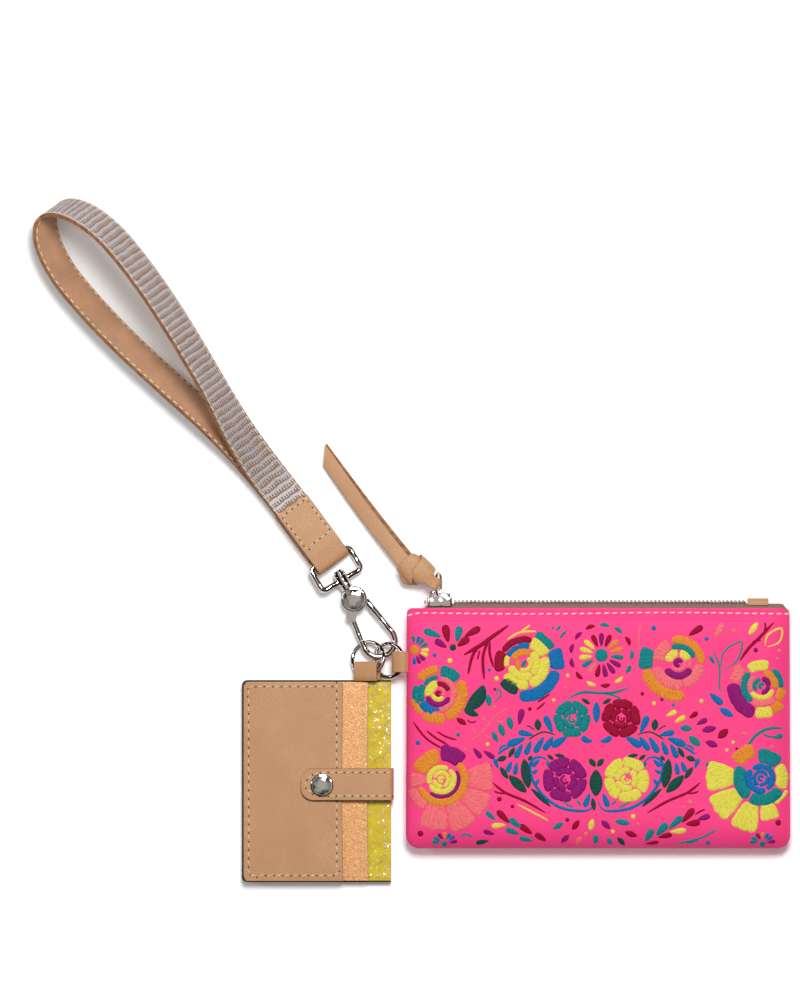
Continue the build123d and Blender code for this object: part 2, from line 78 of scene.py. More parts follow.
def linear(code):
    """sRGB hex value as a linear RGBA colour."""
    channels = [int(code[i:i + 2], 16) / 255 for i in (1, 3, 5)]
    return [c / 12.92 if c <= 0.04045 else ((c + 0.055) / 1.055) ** 2.4 for c in channels] + [1]


def add(tree, kind, inputs=None, stops=None, **settings):
    """Adds a node; an input is a value or another node's output."""
    made = tree.nodes.new(kind)
    for name, value in settings.items():
        setattr(made, name, value)
    for name, value in (inputs or {}).items():
        if isinstance(value, bpy.types.NodeSocket):
            tree.links.new(value, made.inputs[name])
        else:
            made.inputs[name].default_value = value
    if stops:
        band = made.color_ramp
        band.elements[0].position, band.elements[1].position = stops[0][0], stops[-1][0]
        for at, _ in stops[1:-1]:
            band.elements.new(at)
        for element, (_, code) in zip(band.elements, stops):
            element.color = linear(code)
    return made


def finish_material(name, **sockets):
    """New material with its shader's fixed values set on the shader."""
    made = bpy.data.materials.new(name)
    made.use_nodes = True
    shader = made.node_tree.nodes["Principled BSDF"]
    for socket, value in sockets.items():
        shader.inputs[socket.replace("_", " ")].default_value = value
    return made, made.node_tree, shader


def grained(name, dark, light, grain_mm, depth_mm, mottle_mm=22, **sockets):
    """Leather: slow colour drift from the hide, and pores and wrinkles as relief."""
    made, tree, shader = finish_material(name, **sockets)
    place = add(tree, "ShaderNodeTexCoord").outputs["Object"]
    drift = add(tree, "ShaderNodeTexNoise", {"Vector": place, "Scale": 1 / (mottle_mm * MM), "Detail": 5})
    pores = add(tree, "ShaderNodeTexVoronoi", {"Vector": place, "Scale": 1 / (grain_mm * MM)})
    fine = add(tree, "ShaderNodeTexNoise", {"Vector": place, "Scale": 1.6 / (grain_mm * MM), "Detail": 4})
    speck = add(tree, "ShaderNodeMath",
                {0: drift.outputs["Fac"], 1: fine.outputs["Fac"], 2: fine.outputs["Fac"]},
                operation="MULTIPLY_ADD")
    scaled = add(tree, "ShaderNodeMapRange", {"Value": speck.outputs[0], "From Min": 0.7, "From Max": 1.15})
    tint = add(tree, "ShaderNodeValToRGB", {"Fac": scaled.outputs[0]}, stops=[(0, dark), (1, light)])
    tree.links.new(tint.outputs["Color"], shader.inputs["Base Color"])
    skin = add(tree, "ShaderNodeMath", {0: pores.outputs["Distance"], 1: fine.outputs["Fac"]},
               operation="ADD")
    bump = add(tree, "ShaderNodeBump", {"Height": skin.outputs[0], "Distance": depth_mm * MM,
                                        "Strength": 0.6})
    tree.links.new(bump.outputs["Normal"], shader.inputs["Normal"])
    return made


def cut_edge(name, dark, light):
    """Raw edge of a hide: darker than the face, with fibres that run along the cut."""
    made, tree, shader = finish_material(name, Roughness=0.75)
    place = add(tree, "ShaderNodeTexCoord").outputs["Object"]
    squeeze = add(tree, "ShaderNodeMapping", {"Vector": place, "Scale": (300, 300, 2600)})
    fibres = add(tree, "ShaderNodeTexNoise", {"Vector": squeeze.outputs[0], "Scale": 1.0, "Detail": 4})
    tint = add(tree, "ShaderNodeValToRGB", {"Fac": fibres.outputs["Fac"]},
               stops=[(0.35, dark), (0.7, light)])
    tree.links.new(tint.outputs["Color"], shader.inputs["Base Color"])
    bump = add(tree, "ShaderNodeBump", {"Height": fibres.outputs["Fac"], "Distance": 0.08 * MM,
                                        "Strength": 0.5})
    tree.links.new(bump.outputs["Normal"], shader.inputs["Normal"])
    return made


def polished_metal(name, colour, low, high):
    """Plated metal: a mirror with faint smears left by handling."""
    made, tree, shader = finish_material(name, Metallic=1.0)
    shader.inputs["Base Color"].default_value = linear(colour)
    place = add(tree, "ShaderNodeTexCoord").outputs["Object"]
    smears = add(tree, "ShaderNodeTexNoise", {"Vector": place, "Scale": 1 / (2.5 * MM), "Detail": 3})
    rough = add(tree, "ShaderNodeMapRange", {"Value": smears.outputs["Fac"], "To Min": low, "To Max": high})
    tree.links.new(rough.outputs[0], shader.inputs["Roughness"])
    cast = add(tree, "ShaderNodeTexNoise", {"Vector": place, "Scale": 1 / (5 * MM), "Detail": 1})
    bump = add(tree, "ShaderNodeBump", {"Height": cast.outputs["Fac"], "Distance": 0.9 * MM,
                                        "Strength": 0.8})
    tree.links.new(bump.outputs["Normal"], shader.inputs["Normal"])
    return made


def sewing_thread(name, dark, light):
    """Waxed polyester thread: a soft shine broken by its twist."""
    made, tree, shader = finish_material(name, Roughness=0.6, Sheen_Weight=0.2)
    place = add(tree, "ShaderNodeTexCoord").outputs["Object"]
    fuzz = add(tree, "ShaderNodeTexNoise", {"Vector": place, "Scale": 1 / (0.35 * MM), "Detail": 2})
    tint = add(tree, "ShaderNodeValToRGB", {"Fac": fuzz.outputs["Fac"]}, stops=[(0.3, dark), (0.65, light)])
    tree.links.new(tint.outputs["Color"], shader.inputs["Base Color"])
    bump = add(tree, "ShaderNodeBump", {"Height": fuzz.outputs["Fac"], "Distance": 0.08 * MM,
                                        "Strength": 0.6})
    tree.links.new(bump.outputs["Normal"], shader.inputs["Normal"])
    return made


def embroidery_thread(name, shade, base, shine):
    """Rayon floss laid in satin stitch: fine ridges along each thread, as relief and as painted light
    in the colour: a painted highlight on each ridge and painted shade between them. A floss is
    0.3 mm wide; the ridges are drawn 0.7 mm wide so that they show."""
    made, tree, shader = finish_material(name, Roughness=0.66, Specular_IOR_Level=0.12)
    cloth = add(tree, "ShaderNodeUVMap", uv_map="fabric").outputs["UV"]
    ridges = add(tree, "ShaderNodeTexWave", {"Vector": cloth, "Scale": 0.314 / (0.7 * MM),
                                             "Distortion": 1.2,
                                            "Detail": 2, "Detail Scale": 1.5}, bands_direction="Y")
    streaks = add(tree, "ShaderNodeMapping", {"Vector": cloth, "Scale": (320, 1500, 1)})
    fibres = add(tree, "ShaderNodeTexNoise", {"Vector": streaks.outputs[0], "Scale": 1.0, "Detail": 3})
    mixed = add(tree, "ShaderNodeMath", {0: ridges.outputs["Fac"], 2: fibres.outputs["Fac"]},
                operation="MULTIPLY_ADD")
    mixed.inputs[1].default_value = 0.45
    # Painted light: ridge tops painted toward the shine colour, hollows toward the shade colour; the fibre
    # streaks are random tone.
    tint = add(tree, "ShaderNodeValToRGB", {"Fac": mixed.outputs[0]},
               stops=[(0.3, shade), (0.62, base), (0.95, shine)])
    tree.links.new(tint.outputs["Color"], shader.inputs["Base Color"])
    bump = add(tree, "ShaderNodeBump", {"Height": mixed.outputs[0], "Distance": 0.12 * MM, "Strength": 0.5})
    tree.links.new(bump.outputs["Normal"], shader.inputs["Normal"])
    return made


def zip_tape_weave():
    """Polyester herringbone tape: fine slanting ribs that change direction along the edge. The ribs
    are relief and painted light too: rib tops painted lighter, grooves painted darker as shade.
    """
    made, tree, shader = finish_material("zip_tape_weave", Roughness=0.85, Sheen_Weight=0.2)
    place = add(tree, "ShaderNodeTexCoord").outputs["Object"]
    turned = add(tree, "ShaderNodeMapping", {"Vector": place, "Rotation": (0, 0, radians(38))})
    ribs = add(tree, "ShaderNodeTexWave", {"Vector": turned.outputs[0], "Scale": 0.314 / (0.95 * MM),
                                           "Distortion": 0.6},
               bands_direction="X")
    fuzz = add(tree, "ShaderNodeTexNoise", {"Vector": place, "Scale": 1 / (0.3 * MM), "Detail": 2})
    mixed = add(tree, "ShaderNodeMath", {0: ribs.outputs["Fac"], 2: fuzz.outputs["Fac"]},
                operation="MULTIPLY_ADD")
    mixed.inputs[1].default_value = 0.6
    # Painted shade: colour follows the ribs' height, lighter on top and darker in the grooves; the fuzz is
    # random tone.
    tint = add(tree, "ShaderNodeValToRGB", {"Fac": mixed.outputs[0]},
               stops=[(0.35, "#54413A"), (0.95, "#9C8174")])
    tree.links.new(tint.outputs["Color"], shader.inputs["Base Color"])
    bump = add(tree, "ShaderNodeBump", {"Height": mixed.outputs[0], "Distance": 0.15 * MM, "Strength": 0.7})
    tree.links.new(bump.outputs["Normal"], shader.inputs["Normal"])
    return made


def foil_on_hide():
    """Suede with metal foil pressed on in broken bands across the strap: the foil shines and its
    edges are ragged, the hide between them is dull and brown."""
    made, tree, shader = finish_material("foil_banded_hide")
    cloth = add(tree, "ShaderNodeUVMap", uv_map="fabric").outputs["UV"]
    bands = add(tree, "ShaderNodeTexWave", {"Vector": cloth, "Scale": 0.314 / (3.9 * MM), "Distortion": 2.0,
                                            "Detail": 3, "Detail Scale": 2.0, "Detail Roughness": 0.5},
                bands_direction="X", wave_profile="SAW")
    comb = add(tree, "ShaderNodeTexWave", {"Vector": cloth, "Scale": 0.314 / (1.5 * MM), "Distortion": 1.5,
                                           "Detail": 1}, bands_direction="Y")
    solid = add(tree, "ShaderNodeMath", {0: bands.outputs["Fac"]}, operation="ADD")
    solid.inputs[1].default_value = 0.4
    teeth = add(tree, "ShaderNodeMath", {0: comb.outputs["Fac"], 1: solid.outputs[0]}, operation="MINIMUM")
    pressed = add(tree, "ShaderNodeMath", {0: bands.outputs["Fac"], 1: teeth.outputs[0]},
                  operation="MAXIMUM")
    gaps = add(tree, "ShaderNodeTexNoise", {"Vector": cloth, "Scale": 1 / (6 * MM), "Detail": 2})
    broken = add(tree, "ShaderNodeMath", {0: gaps.outputs["Fac"], 2: pressed.outputs[0]},
                 operation="MULTIPLY_ADD")
    broken.inputs[1].default_value = 0.5
    mask = add(tree, "ShaderNodeMapRange", {"Value": broken.outputs[0], "From Min": 0.8, "From Max": 0.9})
    crinkle = add(tree, "ShaderNodeTexNoise", {"Vector": cloth, "Scale": 1 / (0.7 * MM), "Detail": 2})
    foil = add(tree, "ShaderNodeValToRGB", {"Fac": crinkle.outputs["Fac"]},
               stops=[(0.3, "#96959A"), (0.5, "#AAA9AE"), (0.72, "#C6C5CA")])
    hide = add(tree, "ShaderNodeValToRGB", {"Fac": crinkle.outputs["Fac"]},
               stops=[(0.3, "#7A5540"), (0.7, "#A9805F")])
    blend = add(tree, "ShaderNodeMix", {"Factor": mask.outputs[0]}, data_type="RGBA")
    tree.links.new(hide.outputs["Color"], blend.inputs[6])
    tree.links.new(foil.outputs["Color"], blend.inputs[7])
    tree.links.new(blend.outputs[2], shader.inputs["Base Color"])
    metal = add(tree, "ShaderNodeMapRange", {"Value": mask.outputs[0], "To Max": 0.15})
    rough = add(tree, "ShaderNodeMapRange", {"Value": mask.outputs[0], "To Min": 0.8, "To Max": 0.5})
    tree.links.new(metal.outputs[0], shader.inputs["Metallic"])
    tree.links.new(rough.outputs[0], shader.inputs["Roughness"])
    relief = add(tree, "ShaderNodeMath", {0: mask.outputs[0], 2: crinkle.outputs["Fac"]},
                 operation="MULTIPLY_ADD")
    relief.inputs[1].default_value = 1.2
    bump = add(tree, "ShaderNodeBump", {"Height": relief.outputs[0], "Distance": 0.14 * MM,
                                        "Strength": 0.7})
    tree.links.new(bump.outputs["Normal"], shader.inputs["Normal"])
    return made


def creased_lining():
    """Smooth tan lining: where the strap bends, short creases run across it. Its colour is a slow
    random drift in tone, with painted shade in the hollows of the creases.
    """
    made, tree, shader = finish_material("creased_tan_lining", Roughness=0.5)
    cloth = add(tree, "ShaderNodeUVMap", uv_map="fabric").outputs["UV"]
    squeeze = add(tree, "ShaderNodeMapping", {"Vector": cloth, "Scale": (420, 90, 1)})
    creases = add(tree, "ShaderNodeTexNoise", {"Vector": squeeze.outputs[0], "Scale": 1.0, "Detail": 3})
    drift = add(tree, "ShaderNodeTexNoise", {"Vector": cloth, "Scale": 1 / (14 * MM), "Detail": 4})
    # Colour: random drift plus painted shade where the creases dip.
    mixed = add(tree, "ShaderNodeMath", {0: creases.outputs["Fac"], 2: drift.outputs["Fac"]},
                operation="MULTIPLY_ADD")
    mixed.inputs[1].default_value = 0.22
    scaled = add(tree, "ShaderNodeMapRange", {"Value": mixed.outputs[0], "From Min": 0.38,
                                              "From Max": 0.88})
    tint = add(tree, "ShaderNodeValToRGB", {"Fac": scaled.outputs[0]},
               stops=[(0, "#A0765A"), (1, "#BA8C68")])
    tree.links.new(tint.outputs["Color"], shader.inputs["Base Color"])
    bump = add(tree, "ShaderNodeBump", {"Height": creases.outputs["Fac"], "Distance": 0.16 * MM,
                                        "Strength": 0.25})
    tree.links.new(bump.outputs["Normal"], shader.inputs["Normal"])
    return made


def copper_hide():
    """Metallic-finished leather: mica in the topcoat, so it sparkles in grains of about 0.4 mm. The
    sparkle is partly painted: the palest mica cells are painted glints, the rest random tone.
    """
    made, tree, shader = finish_material("copper_metallic_hide", Metallic=0.4, Roughness=0.42)
    place = add(tree, "ShaderNodeTexCoord").outputs["Object"]
    mica = add(tree, "ShaderNodeTexVoronoi", {"Vector": place, "Scale": 1 / (0.4 * MM)})
    clouds = add(tree, "ShaderNodeTexNoise", {"Vector": place, "Scale": 1 / (0.7 * MM), "Detail": 4,
                                              "Roughness": 0.6})
    tone = add(tree, "ShaderNodeSeparateColor", {"Color": mica.outputs["Color"]})
    mixed = add(tree, "ShaderNodeMath", {0: tone.outputs["Red"], 2: clouds.outputs["Fac"]},
                operation="MULTIPLY_ADD")
    mixed.inputs[1].default_value = 0.3
    # Painted glints: the palest stop makes some mica cells look lit.
    tint = add(tree, "ShaderNodeValToRGB", {"Fac": mixed.outputs[0]},
               stops=[(0.35, "#AC7442"), (0.62, "#C88E58"), (0.82, "#DAA46E"), (0.93, "#F8D6A6")])
    tree.links.new(tint.outputs["Color"], shader.inputs["Base Color"])
    bump = add(tree, "ShaderNodeBump", {"Height": mixed.outputs[0], "Distance": 0.1 * MM, "Strength": 0.6})
    tree.links.new(bump.outputs["Normal"], shader.inputs["Normal"])
    return made


def glitter_vinyl():
    """Clear vinyl over yellow cloth: deep colour under a wet-looking skin that ripples a little."""
    made, tree, shader = finish_material("yellow_glitter_vinyl", Roughness=0.5, Coat_Weight=0.5,
                                         Coat_Roughness=0.08, Specular_IOR_Level=0.2)
    place = add(tree, "ShaderNodeTexCoord").outputs["Object"]
    clouds = add(tree, "ShaderNodeTexNoise", {"Vector": place, "Scale": 1 / (5 * MM), "Detail": 3})
    tint = add(tree, "ShaderNodeValToRGB", {"Fac": clouds.outputs["Fac"]},
               stops=[(0.3, "#C2A806"), (0.7, "#DCC418")])
    tree.links.new(tint.outputs["Color"], shader.inputs["Base Color"])
    squeeze = add(tree, "ShaderNodeMapping", {"Vector": place, "Scale": (420, 60, 100)})
    ripple = add(tree, "ShaderNodeTexNoise", {"Vector": squeeze.outputs[0], "Scale": 1.0, "Detail": 1})
    bump = add(tree, "ShaderNodeBump", {"Height": ripple.outputs["Fac"], "Distance": 0.5 * MM,
                                        "Strength": 0.5})
    tree.links.new(bump.outputs["Normal"], shader.inputs["Coat Normal"])
    return made


def fleck_film():
    """Iridescent film flakes: each flake has its own colour from its place."""
    made, tree, shader = finish_material("iridescent_film", Metallic=0.3, Roughness=0.25)
    place = add(tree, "ShaderNodeTexCoord").outputs["Object"]
    coarse = add(tree, "ShaderNodeTexVoronoi", {"Vector": place, "Scale": 1 / (2.4 * MM)})
    pick = add(tree, "ShaderNodeSeparateColor", {"Color": coarse.outputs["Color"]})
    tint = add(tree, "ShaderNodeValToRGB", {"Fac": pick.outputs["Red"]},
               stops=[(0.0, "#F6F2E6"), (0.3, "#BDF0E6"), (0.5, "#F4A8DC"), (0.7, "#FFFFFF"),
                      (1.0, "#6E5A16")])
    tree.links.new(tint.outputs["Color"], shader.inputs["Base Color"])
    return made


def clear_sheet():
    """Soft clear vinyl of the card window."""
    made, tree, shader = finish_material("clear_vinyl_sheet", Roughness=0.12, Transmission_Weight=1.0,
                                         IOR=1.45)
    place = add(tree, "ShaderNodeTexCoord").outputs["Object"]
    waves = add(tree, "ShaderNodeTexNoise", {"Vector": place, "Scale": 1 / (12 * MM), "Detail": 1})
    bump = add(tree, "ShaderNodeBump", {"Height": waves.outputs["Fac"], "Distance": 0.4 * MM,
                                        "Strength": 0.3})
    tree.links.new(bump.outputs["Normal"], shader.inputs["Normal"])
    return made


def backdrop_paper():
    """Matt white studio paper."""
    made, _, shader = finish_material("backdrop_paper", Roughness=0.95, Emission_Strength=0.12,
                                      Specular_IOR_Level=0.1)
    shader.inputs["Emission Color"].default_value = linear("#FFFFFF")
    shader.inputs["Base Color"].default_value = linear("#FFFFFF")
    return made


PINK_HIDE = grained("dyed_pink_calf", "#FB3F84", "#FF4C90", 0.8, 0.04, Roughness=0.62,
                    Specular_IOR_Level=0.2)
TAN_HIDE = grained("vegetable_tanned_hide", "#B8865C", "#D3A67C", 0.6, 0.05, Roughness=0.5,
                   Specular_IOR_Level=0.35)
TAN_EDGE = cut_edge("cut_hide_edge", "#7A4B2C", "#B27E55")
PINK_EDGE = cut_edge("dyed_hide_edge", "#B01E57", "#E8468A")
NAVY_BOARD = grained("waxed_board_edge", "#131A28", "#27324A", 0.8, 0.05, Roughness=0.6)
LINING_CLOTH = grained("cotton_lining", "#8A7B6D", "#A89886", 0.5, 0.08, Roughness=0.9)
NICKEL = polished_metal("polished_nickel_plate", "#C8C2BB", 0.04, 0.1)
TOOTH_METAL = polished_metal("tumbled_nickel_teeth", "#8A7B6E", 0.3, 0.4)
SPRING_STEEL = polished_metal("blued_spring_steel", "#8B8B90", 0.25, 0.35)
CREAM_THREAD = sewing_thread("cream_waxed_thread", "#C9B184", "#FBEBC6")
PALE_THREAD = sewing_thread("pale_waxed_thread", "#B8A080", "#EBD9B8")
HOLE_SHADE = cut_edge("needle_hole_shadow", "#3A2010", "#5C3A22")
TAPE = zip_tape_weave()
FOIL_HIDE = foil_on_hide()
STRAP_LINING = creased_lining()
COPPER_HIDE = copper_hide()
GLITTER = glitter_vinyl()
FLECK_FILM = fleck_film()
CLEAR = clear_sheet()
PAPER = backdrop_paper()
# Each floss: painted shade between the ridges, the floss's own colour, painted highlight on the ridges.
FLOSS = {
    "teal": embroidery_thread("teal_floss", "#04484C", "#07757A", "#169395"),
    "green": embroidery_thread("bottle_green_floss", "#04241F", "#0B3F37", "#1C5A4D"),
    "blue": embroidery_thread("blue_floss", "#033C68", "#0462A2", "#127EBC"),
    "purple": embroidery_thread("purple_floss", "#54063E", "#840662", "#9E1C80"),
    "burgundy": embroidery_thread("burgundy_floss", "#5C0018", "#8E002B", "#AA0C38"),
    "salmon": embroidery_thread("salmon_floss", "#CC454F", "#EA616B", "#FB8386"),
    "orange": embroidery_thread("orange_floss", "#A85A12", "#D97F20", "#EE9A3C"),
    "yellow": embroidery_thread("yellow_floss", "#A69C1C", "#D8CC3A", "#EEE568"),
}


# ---------------------------------------------------------------- making meshes

def make_piece(name, points, faces, materials, marks=None, cloth=None, sharp=40):
    """Object from points in millimetres; marks gives each face its material, cloth each corner's UV."""
    mesh = bpy.data.meshes.new(name)
    mesh.from_pydata([Vector(p) * MM for p in points], [], faces)
    for one in materials:
        mesh.materials.append(one)
    if marks:
        mesh.polygons.foreach_set("material_index", marks)
    if cloth:
        layer = mesh.uv_layers.new(name="fabric")
        layer.data.foreach_set("uv", [c * MM for corner in cloth for c in corner])
    mesh.polygons.foreach_set("use_smooth", [True] * len(mesh.polygons))
    mesh.update()
    mesh.set_sharp_from_angle(angle=radians(sharp))
    piece = bpy.data.objects.new(name, mesh)
    bpy.context.scene.collection.objects.link(piece)
    return piece


def thick_sheet(name, rows, thickness, materials, closed=False, sharp=50):
    """Strip of leather or cloth around a middle surface. Rows of points run along it; the face
    that sees along x across turned up gets the first material, the cut edges the second and the
    other face the third."""
    count, wide = len(rows), len(rows[0])
    points, sheet_u, sheet_v = [], [], []
    travelled = 0.0
    for i, row in enumerate(rows):
        ahead = rows[(i + 1) % count] if closed else rows[min(i + 1, count - 1)]
        behind = rows[i - 1] if closed or i else rows[0]
        middle = wide // 2
        if i:
            travelled += (row[middle] - rows[i - 1][middle]).length
        ring = {"top": [], "low": []}
        for j, point in enumerate(row):
            across = row[min(j + 1, wide - 1)] - row[max(j - 1, 0)]
            normal = across.cross(ahead[j] - behind[j]).normalized()
            tuck = across.normalized() * thickness * (0.18 if j == 0 else -0.18 if j == wide - 1 else 0)
            ring["top"].append(point + tuck + normal * thickness / 2)
            ring["low"].append(point + tuck - normal * thickness / 2)
            if j in (0, wide - 1):
                ring[j] = (point + normal * thickness * 0.26, point - normal * thickness * 0.26)
        loop = ring["top"] + [*ring[wide - 1]] + ring["low"][::-1] + [ring[0][1], ring[0][0]]
        points += loop
        spans = [(p - row[0]).length for p in row]
        sheet_v.append(spans + [spans[-1] + 0.3, spans[-1] + 0.9] + spans[::-1] + [-0.9, -0.3])
        sheet_u.append(travelled)
    size = 2 * wide + 4
    faces, marks, cloth = [], [], []
    for i in range(count if closed else count - 1):
        follow = (i + 1) % count
        far_u = sheet_u[follow] if follow else travelled + (rows[0][wide // 2] - rows[-1][wide // 2]).length
        for k in range(size):
            nxt = (k + 1) % size
            faces.append((i * size + k, i * size + nxt, follow * size + nxt, follow * size + k))
            marks.append(0 if k < wide - 1 else 2 if wide + 2 <= k < 2 * wide + 1 else 1)
            near, far = sheet_v[i], sheet_v[follow]
            cloth += [(sheet_u[i], near[k]), (sheet_u[i], near[nxt]), (far_u, far[nxt]), (far_u, far[k])]
    if not closed:
        for i, flip in ((0, True), (count - 1, False)):
            start = i * size
            quads = [(start + j, start + j + 1, start + 2 * wide - j, start + 2 * wide + 1 - j)
                     for j in range(wide - 1)]
            quads.append((start + wide - 1, start + wide, start + wide + 1, start + wide + 2))
            quads.append((start, start + 2 * wide + 1, start + 2 * wide + 2, start + 2 * wide + 3))
            for quad in quads:
                order = quad[::-1] if flip else quad
                faces.append(order)
                marks.append(1)
                cloth += [(sheet_u[i], sheet_v[i][index - start]) for index in order]
    marks = [min(mark, len(materials) - 1) for mark in marks]
    return make_piece(name, points, faces, materials, marks, cloth, sharp)


def smooth(value, low, high):
    """0 before low, 1 after high, and an S curve between."""
    part = min(max((value - low) / (high - low), 0), 1)
    return 0.5 - 0.5 * cos(pi * part)


def through(points, closed=False, steps=6):
    """Smooth curve through given points."""
    points = [Vector(p) for p in points]
    count = len(points)
    curve = []
    for i in range(count if closed else count - 1):
        if closed:
            p0, p1, p2, p3 = (points[(i + k) % count] for k in (-1, 0, 1, 2))
        else:
            p0, p1, p2, p3 = (points[min(max(i + k, 0), count - 1)] for k in (-1, 0, 1, 2))
        for step in range(steps):
            t = step / steps
            curve.append(0.5 * ((2 * p1) + (p2 - p0) * t + (2 * p0 - 5 * p1 + 4 * p2 - p3) * t ** 2
                                + (3 * p1 - p0 - 3 * p2 + p3) * t ** 3))
    return curve if closed else curve + [points[-1]]


# ---------------------------------------------------------------- rows of stitches and teeth

def bead_tree(name, boxy):
    """Geometry nodes that lay one bead after another along every chain of edges."""
    tree = bpy.data.node_groups.new(name, "GeometryNodeTree")
    tree.interface.new_socket("Path", in_out="INPUT", socket_type="NodeSocketGeometry")
    for label in ("Pitch", "Slant"):
        tree.interface.new_socket(label, in_out="INPUT", socket_type="NodeSocketFloat")
    for label in ("Size", "Shift"):
        tree.interface.new_socket(label, in_out="INPUT", socket_type="NodeSocketVector")
    tree.interface.new_socket("Finish", in_out="INPUT", socket_type="NodeSocketMaterial")
    tree.interface.new_socket("Beads", in_out="OUTPUT", socket_type="NodeSocketGeometry")
    given = add(tree, "NodeGroupInput").outputs
    curve = add(tree, "GeometryNodeMeshToCurve", {"Mesh": given["Path"]})
    spaced = add(tree, "GeometryNodeResampleCurve", {"Curve": curve.outputs["Curve"],
                                                     "Length": given["Pitch"]},
                 mode="LENGTH")
    run = add(tree, "GeometryNodeInputTangent")
    up = add(tree, "GeometryNodeInputNamedAttribute", {"Name": "up"}, data_type="FLOAT_VECTOR")
    along = add(tree, "FunctionNodeAlignRotationToVector", {"Vector": run.outputs[0]}, axis="X")
    upright = add(tree, "FunctionNodeAlignRotationToVector",
                  {"Rotation": along.outputs[0], "Vector": up.outputs["Attribute"]}, axis="Z",
                  pivot_axis="X")
    turn = add(tree, "ShaderNodeCombineXYZ", {"Z": given["Slant"]})
    as_turn = add(tree, "FunctionNodeEulerToRotation", {"Euler": turn.outputs[0]})
    slanted = add(tree, "FunctionNodeRotateRotation", {"Rotation": upright.outputs[0],
                                                       "Rotate By": as_turn.outputs[0]},
                  rotation_space="LOCAL")
    if boxy:
        block = add(tree, "GeometryNodeMeshCube", {"Size": (2, 2, 2)})
        bead = add(tree, "GeometryNodeSubdivisionSurface",
                   {"Mesh": block.outputs["Mesh"], "Level": 2, "Edge Crease": 0.72})
    else:
        bead = add(tree, "GeometryNodeMeshUVSphere", {"Segments": 8, "Rings": 5, "Radius": 1.0})
    shaped = add(tree, "GeometryNodeTransform",
                 {"Geometry": bead.outputs["Mesh"], "Scale": given["Size"], "Translation": given["Shift"]})
    laid = add(tree, "GeometryNodeInstanceOnPoints",
               {"Points": spaced.outputs["Curve"], "Instance": shaped.outputs[0],
                "Rotation": slanted.outputs[0]})
    solid = add(tree, "GeometryNodeRealizeInstances", {"Geometry": laid.outputs["Instances"]})
    round_off = add(tree, "GeometryNodeSetShadeSmooth", {"Geometry": solid.outputs[0]})
    painted = add(tree, "GeometryNodeSetMaterial", {"Geometry": round_off.outputs[0],
                                                    "Material": given["Finish"]})
    add(tree, "NodeGroupOutput", {"Beads": painted.outputs[0]})
    return tree


STITCH_TREE = bead_tree("stitch_row", False)
TOOTH_TREE = bead_tree("tooth_row", True)


def settle(name, base, tree, values):
    """Runs a node tree on a base mesh and keeps the result as a plain mesh."""
    bpy.context.scene.collection.objects.link(base)
    modifier = base.modifiers.new("build", "NODES")
    modifier.node_group = tree
    for item in tree.interface.items_tree:
        if item.name in values:
            modifier[item.identifier] = values[item.name]
    settled = base.evaluated_get(bpy.context.evaluated_depsgraph_get())
    made = bpy.data.meshes.new_from_object(settled)
    made.name = name
    base.modifiers.remove(modifier)
    bpy.data.objects.remove(base)
    piece = bpy.data.objects.new(name, made)
    bpy.context.scene.collection.objects.link(piece)
    return piece


def beads(name, tree, paths, pitch, size, finish, slant=0.0, shift=(0, 0, 0)):
    """Lays beads of size (length, width, height) on paths, each a list of (point, up)."""
    points, edges, ups = [], [], []
    for path in paths:
        start = len(points)
        points += [Vector(p) * MM for p, _ in path]
        ups += [component for _, up in path for component in Vector(up).normalized()]
        edges += [(start + i, start + i + 1) for i in range(len(path) - 1)]
    mesh = bpy.data.meshes.new(name + "_path")
    mesh.from_pydata(points, edges, [])
    mesh.attributes.new("up", "FLOAT_VECTOR", "POINT").data.foreach_set("vector", ups)
    return settle(name, bpy.data.objects.new(name + "_path", mesh), tree,
                  {"Pitch": pitch * MM, "Slant": radians(slant), "Size": [s * MM / 2 for s in size],
                   "Shift": [s * MM for s in shift], "Finish": finish})


def stitches(name, paths, pitch, length, body, thread=PALE_THREAD, slant=8, holes=True,
             width=0.75):
    """A sewn row: thread between needle holes, slanted a little as a lockstitch lies."""
    row = beads(name, STITCH_TREE, paths, pitch, (length, width, 0.55), thread, slant, (0, 0, 0.08))
    sewn = [row]
    # The hole beads are dark: painted shade in the needle holes.
    if holes:
        sewn.append(beads(name + "_holes", STITCH_TREE, paths, pitch, (1.05, 0.85, 0.3), HOLE_SHADE, 0,
                          (pitch / 2, 0, 0.0)))
    for piece in sewn:
        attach(piece, body)
    return sewn


# ---------------------------------------------------------------- pouch

def edge_distances(x, y):
    """Distance to the nearer side, to the nearer end, and to the rounded outline."""
    half = TOP_HALF_X + (BOTTOM_HALF_X - TOP_HALF_X) * (TOP_Y - y) / (TOP_Y - BOTTOM_Y)
    side, end = half - abs(x), min(TOP_Y - y, y - BOTTOM_Y)
    corner = TOP_CORNER_R if y > 0 else BOTTOM_CORNER_R
    if side < corner and end < corner:
        return side, end, corner - hypot(corner - side, corner - end)
    return side, end, min(side, end)


def swell(distance, reach, power):
    """Rise from 0 at an edge to 1 at its reach."""
    return sqrt(max(1 - (1 - min(max(distance, 0) / reach, 1)) ** power, 0))


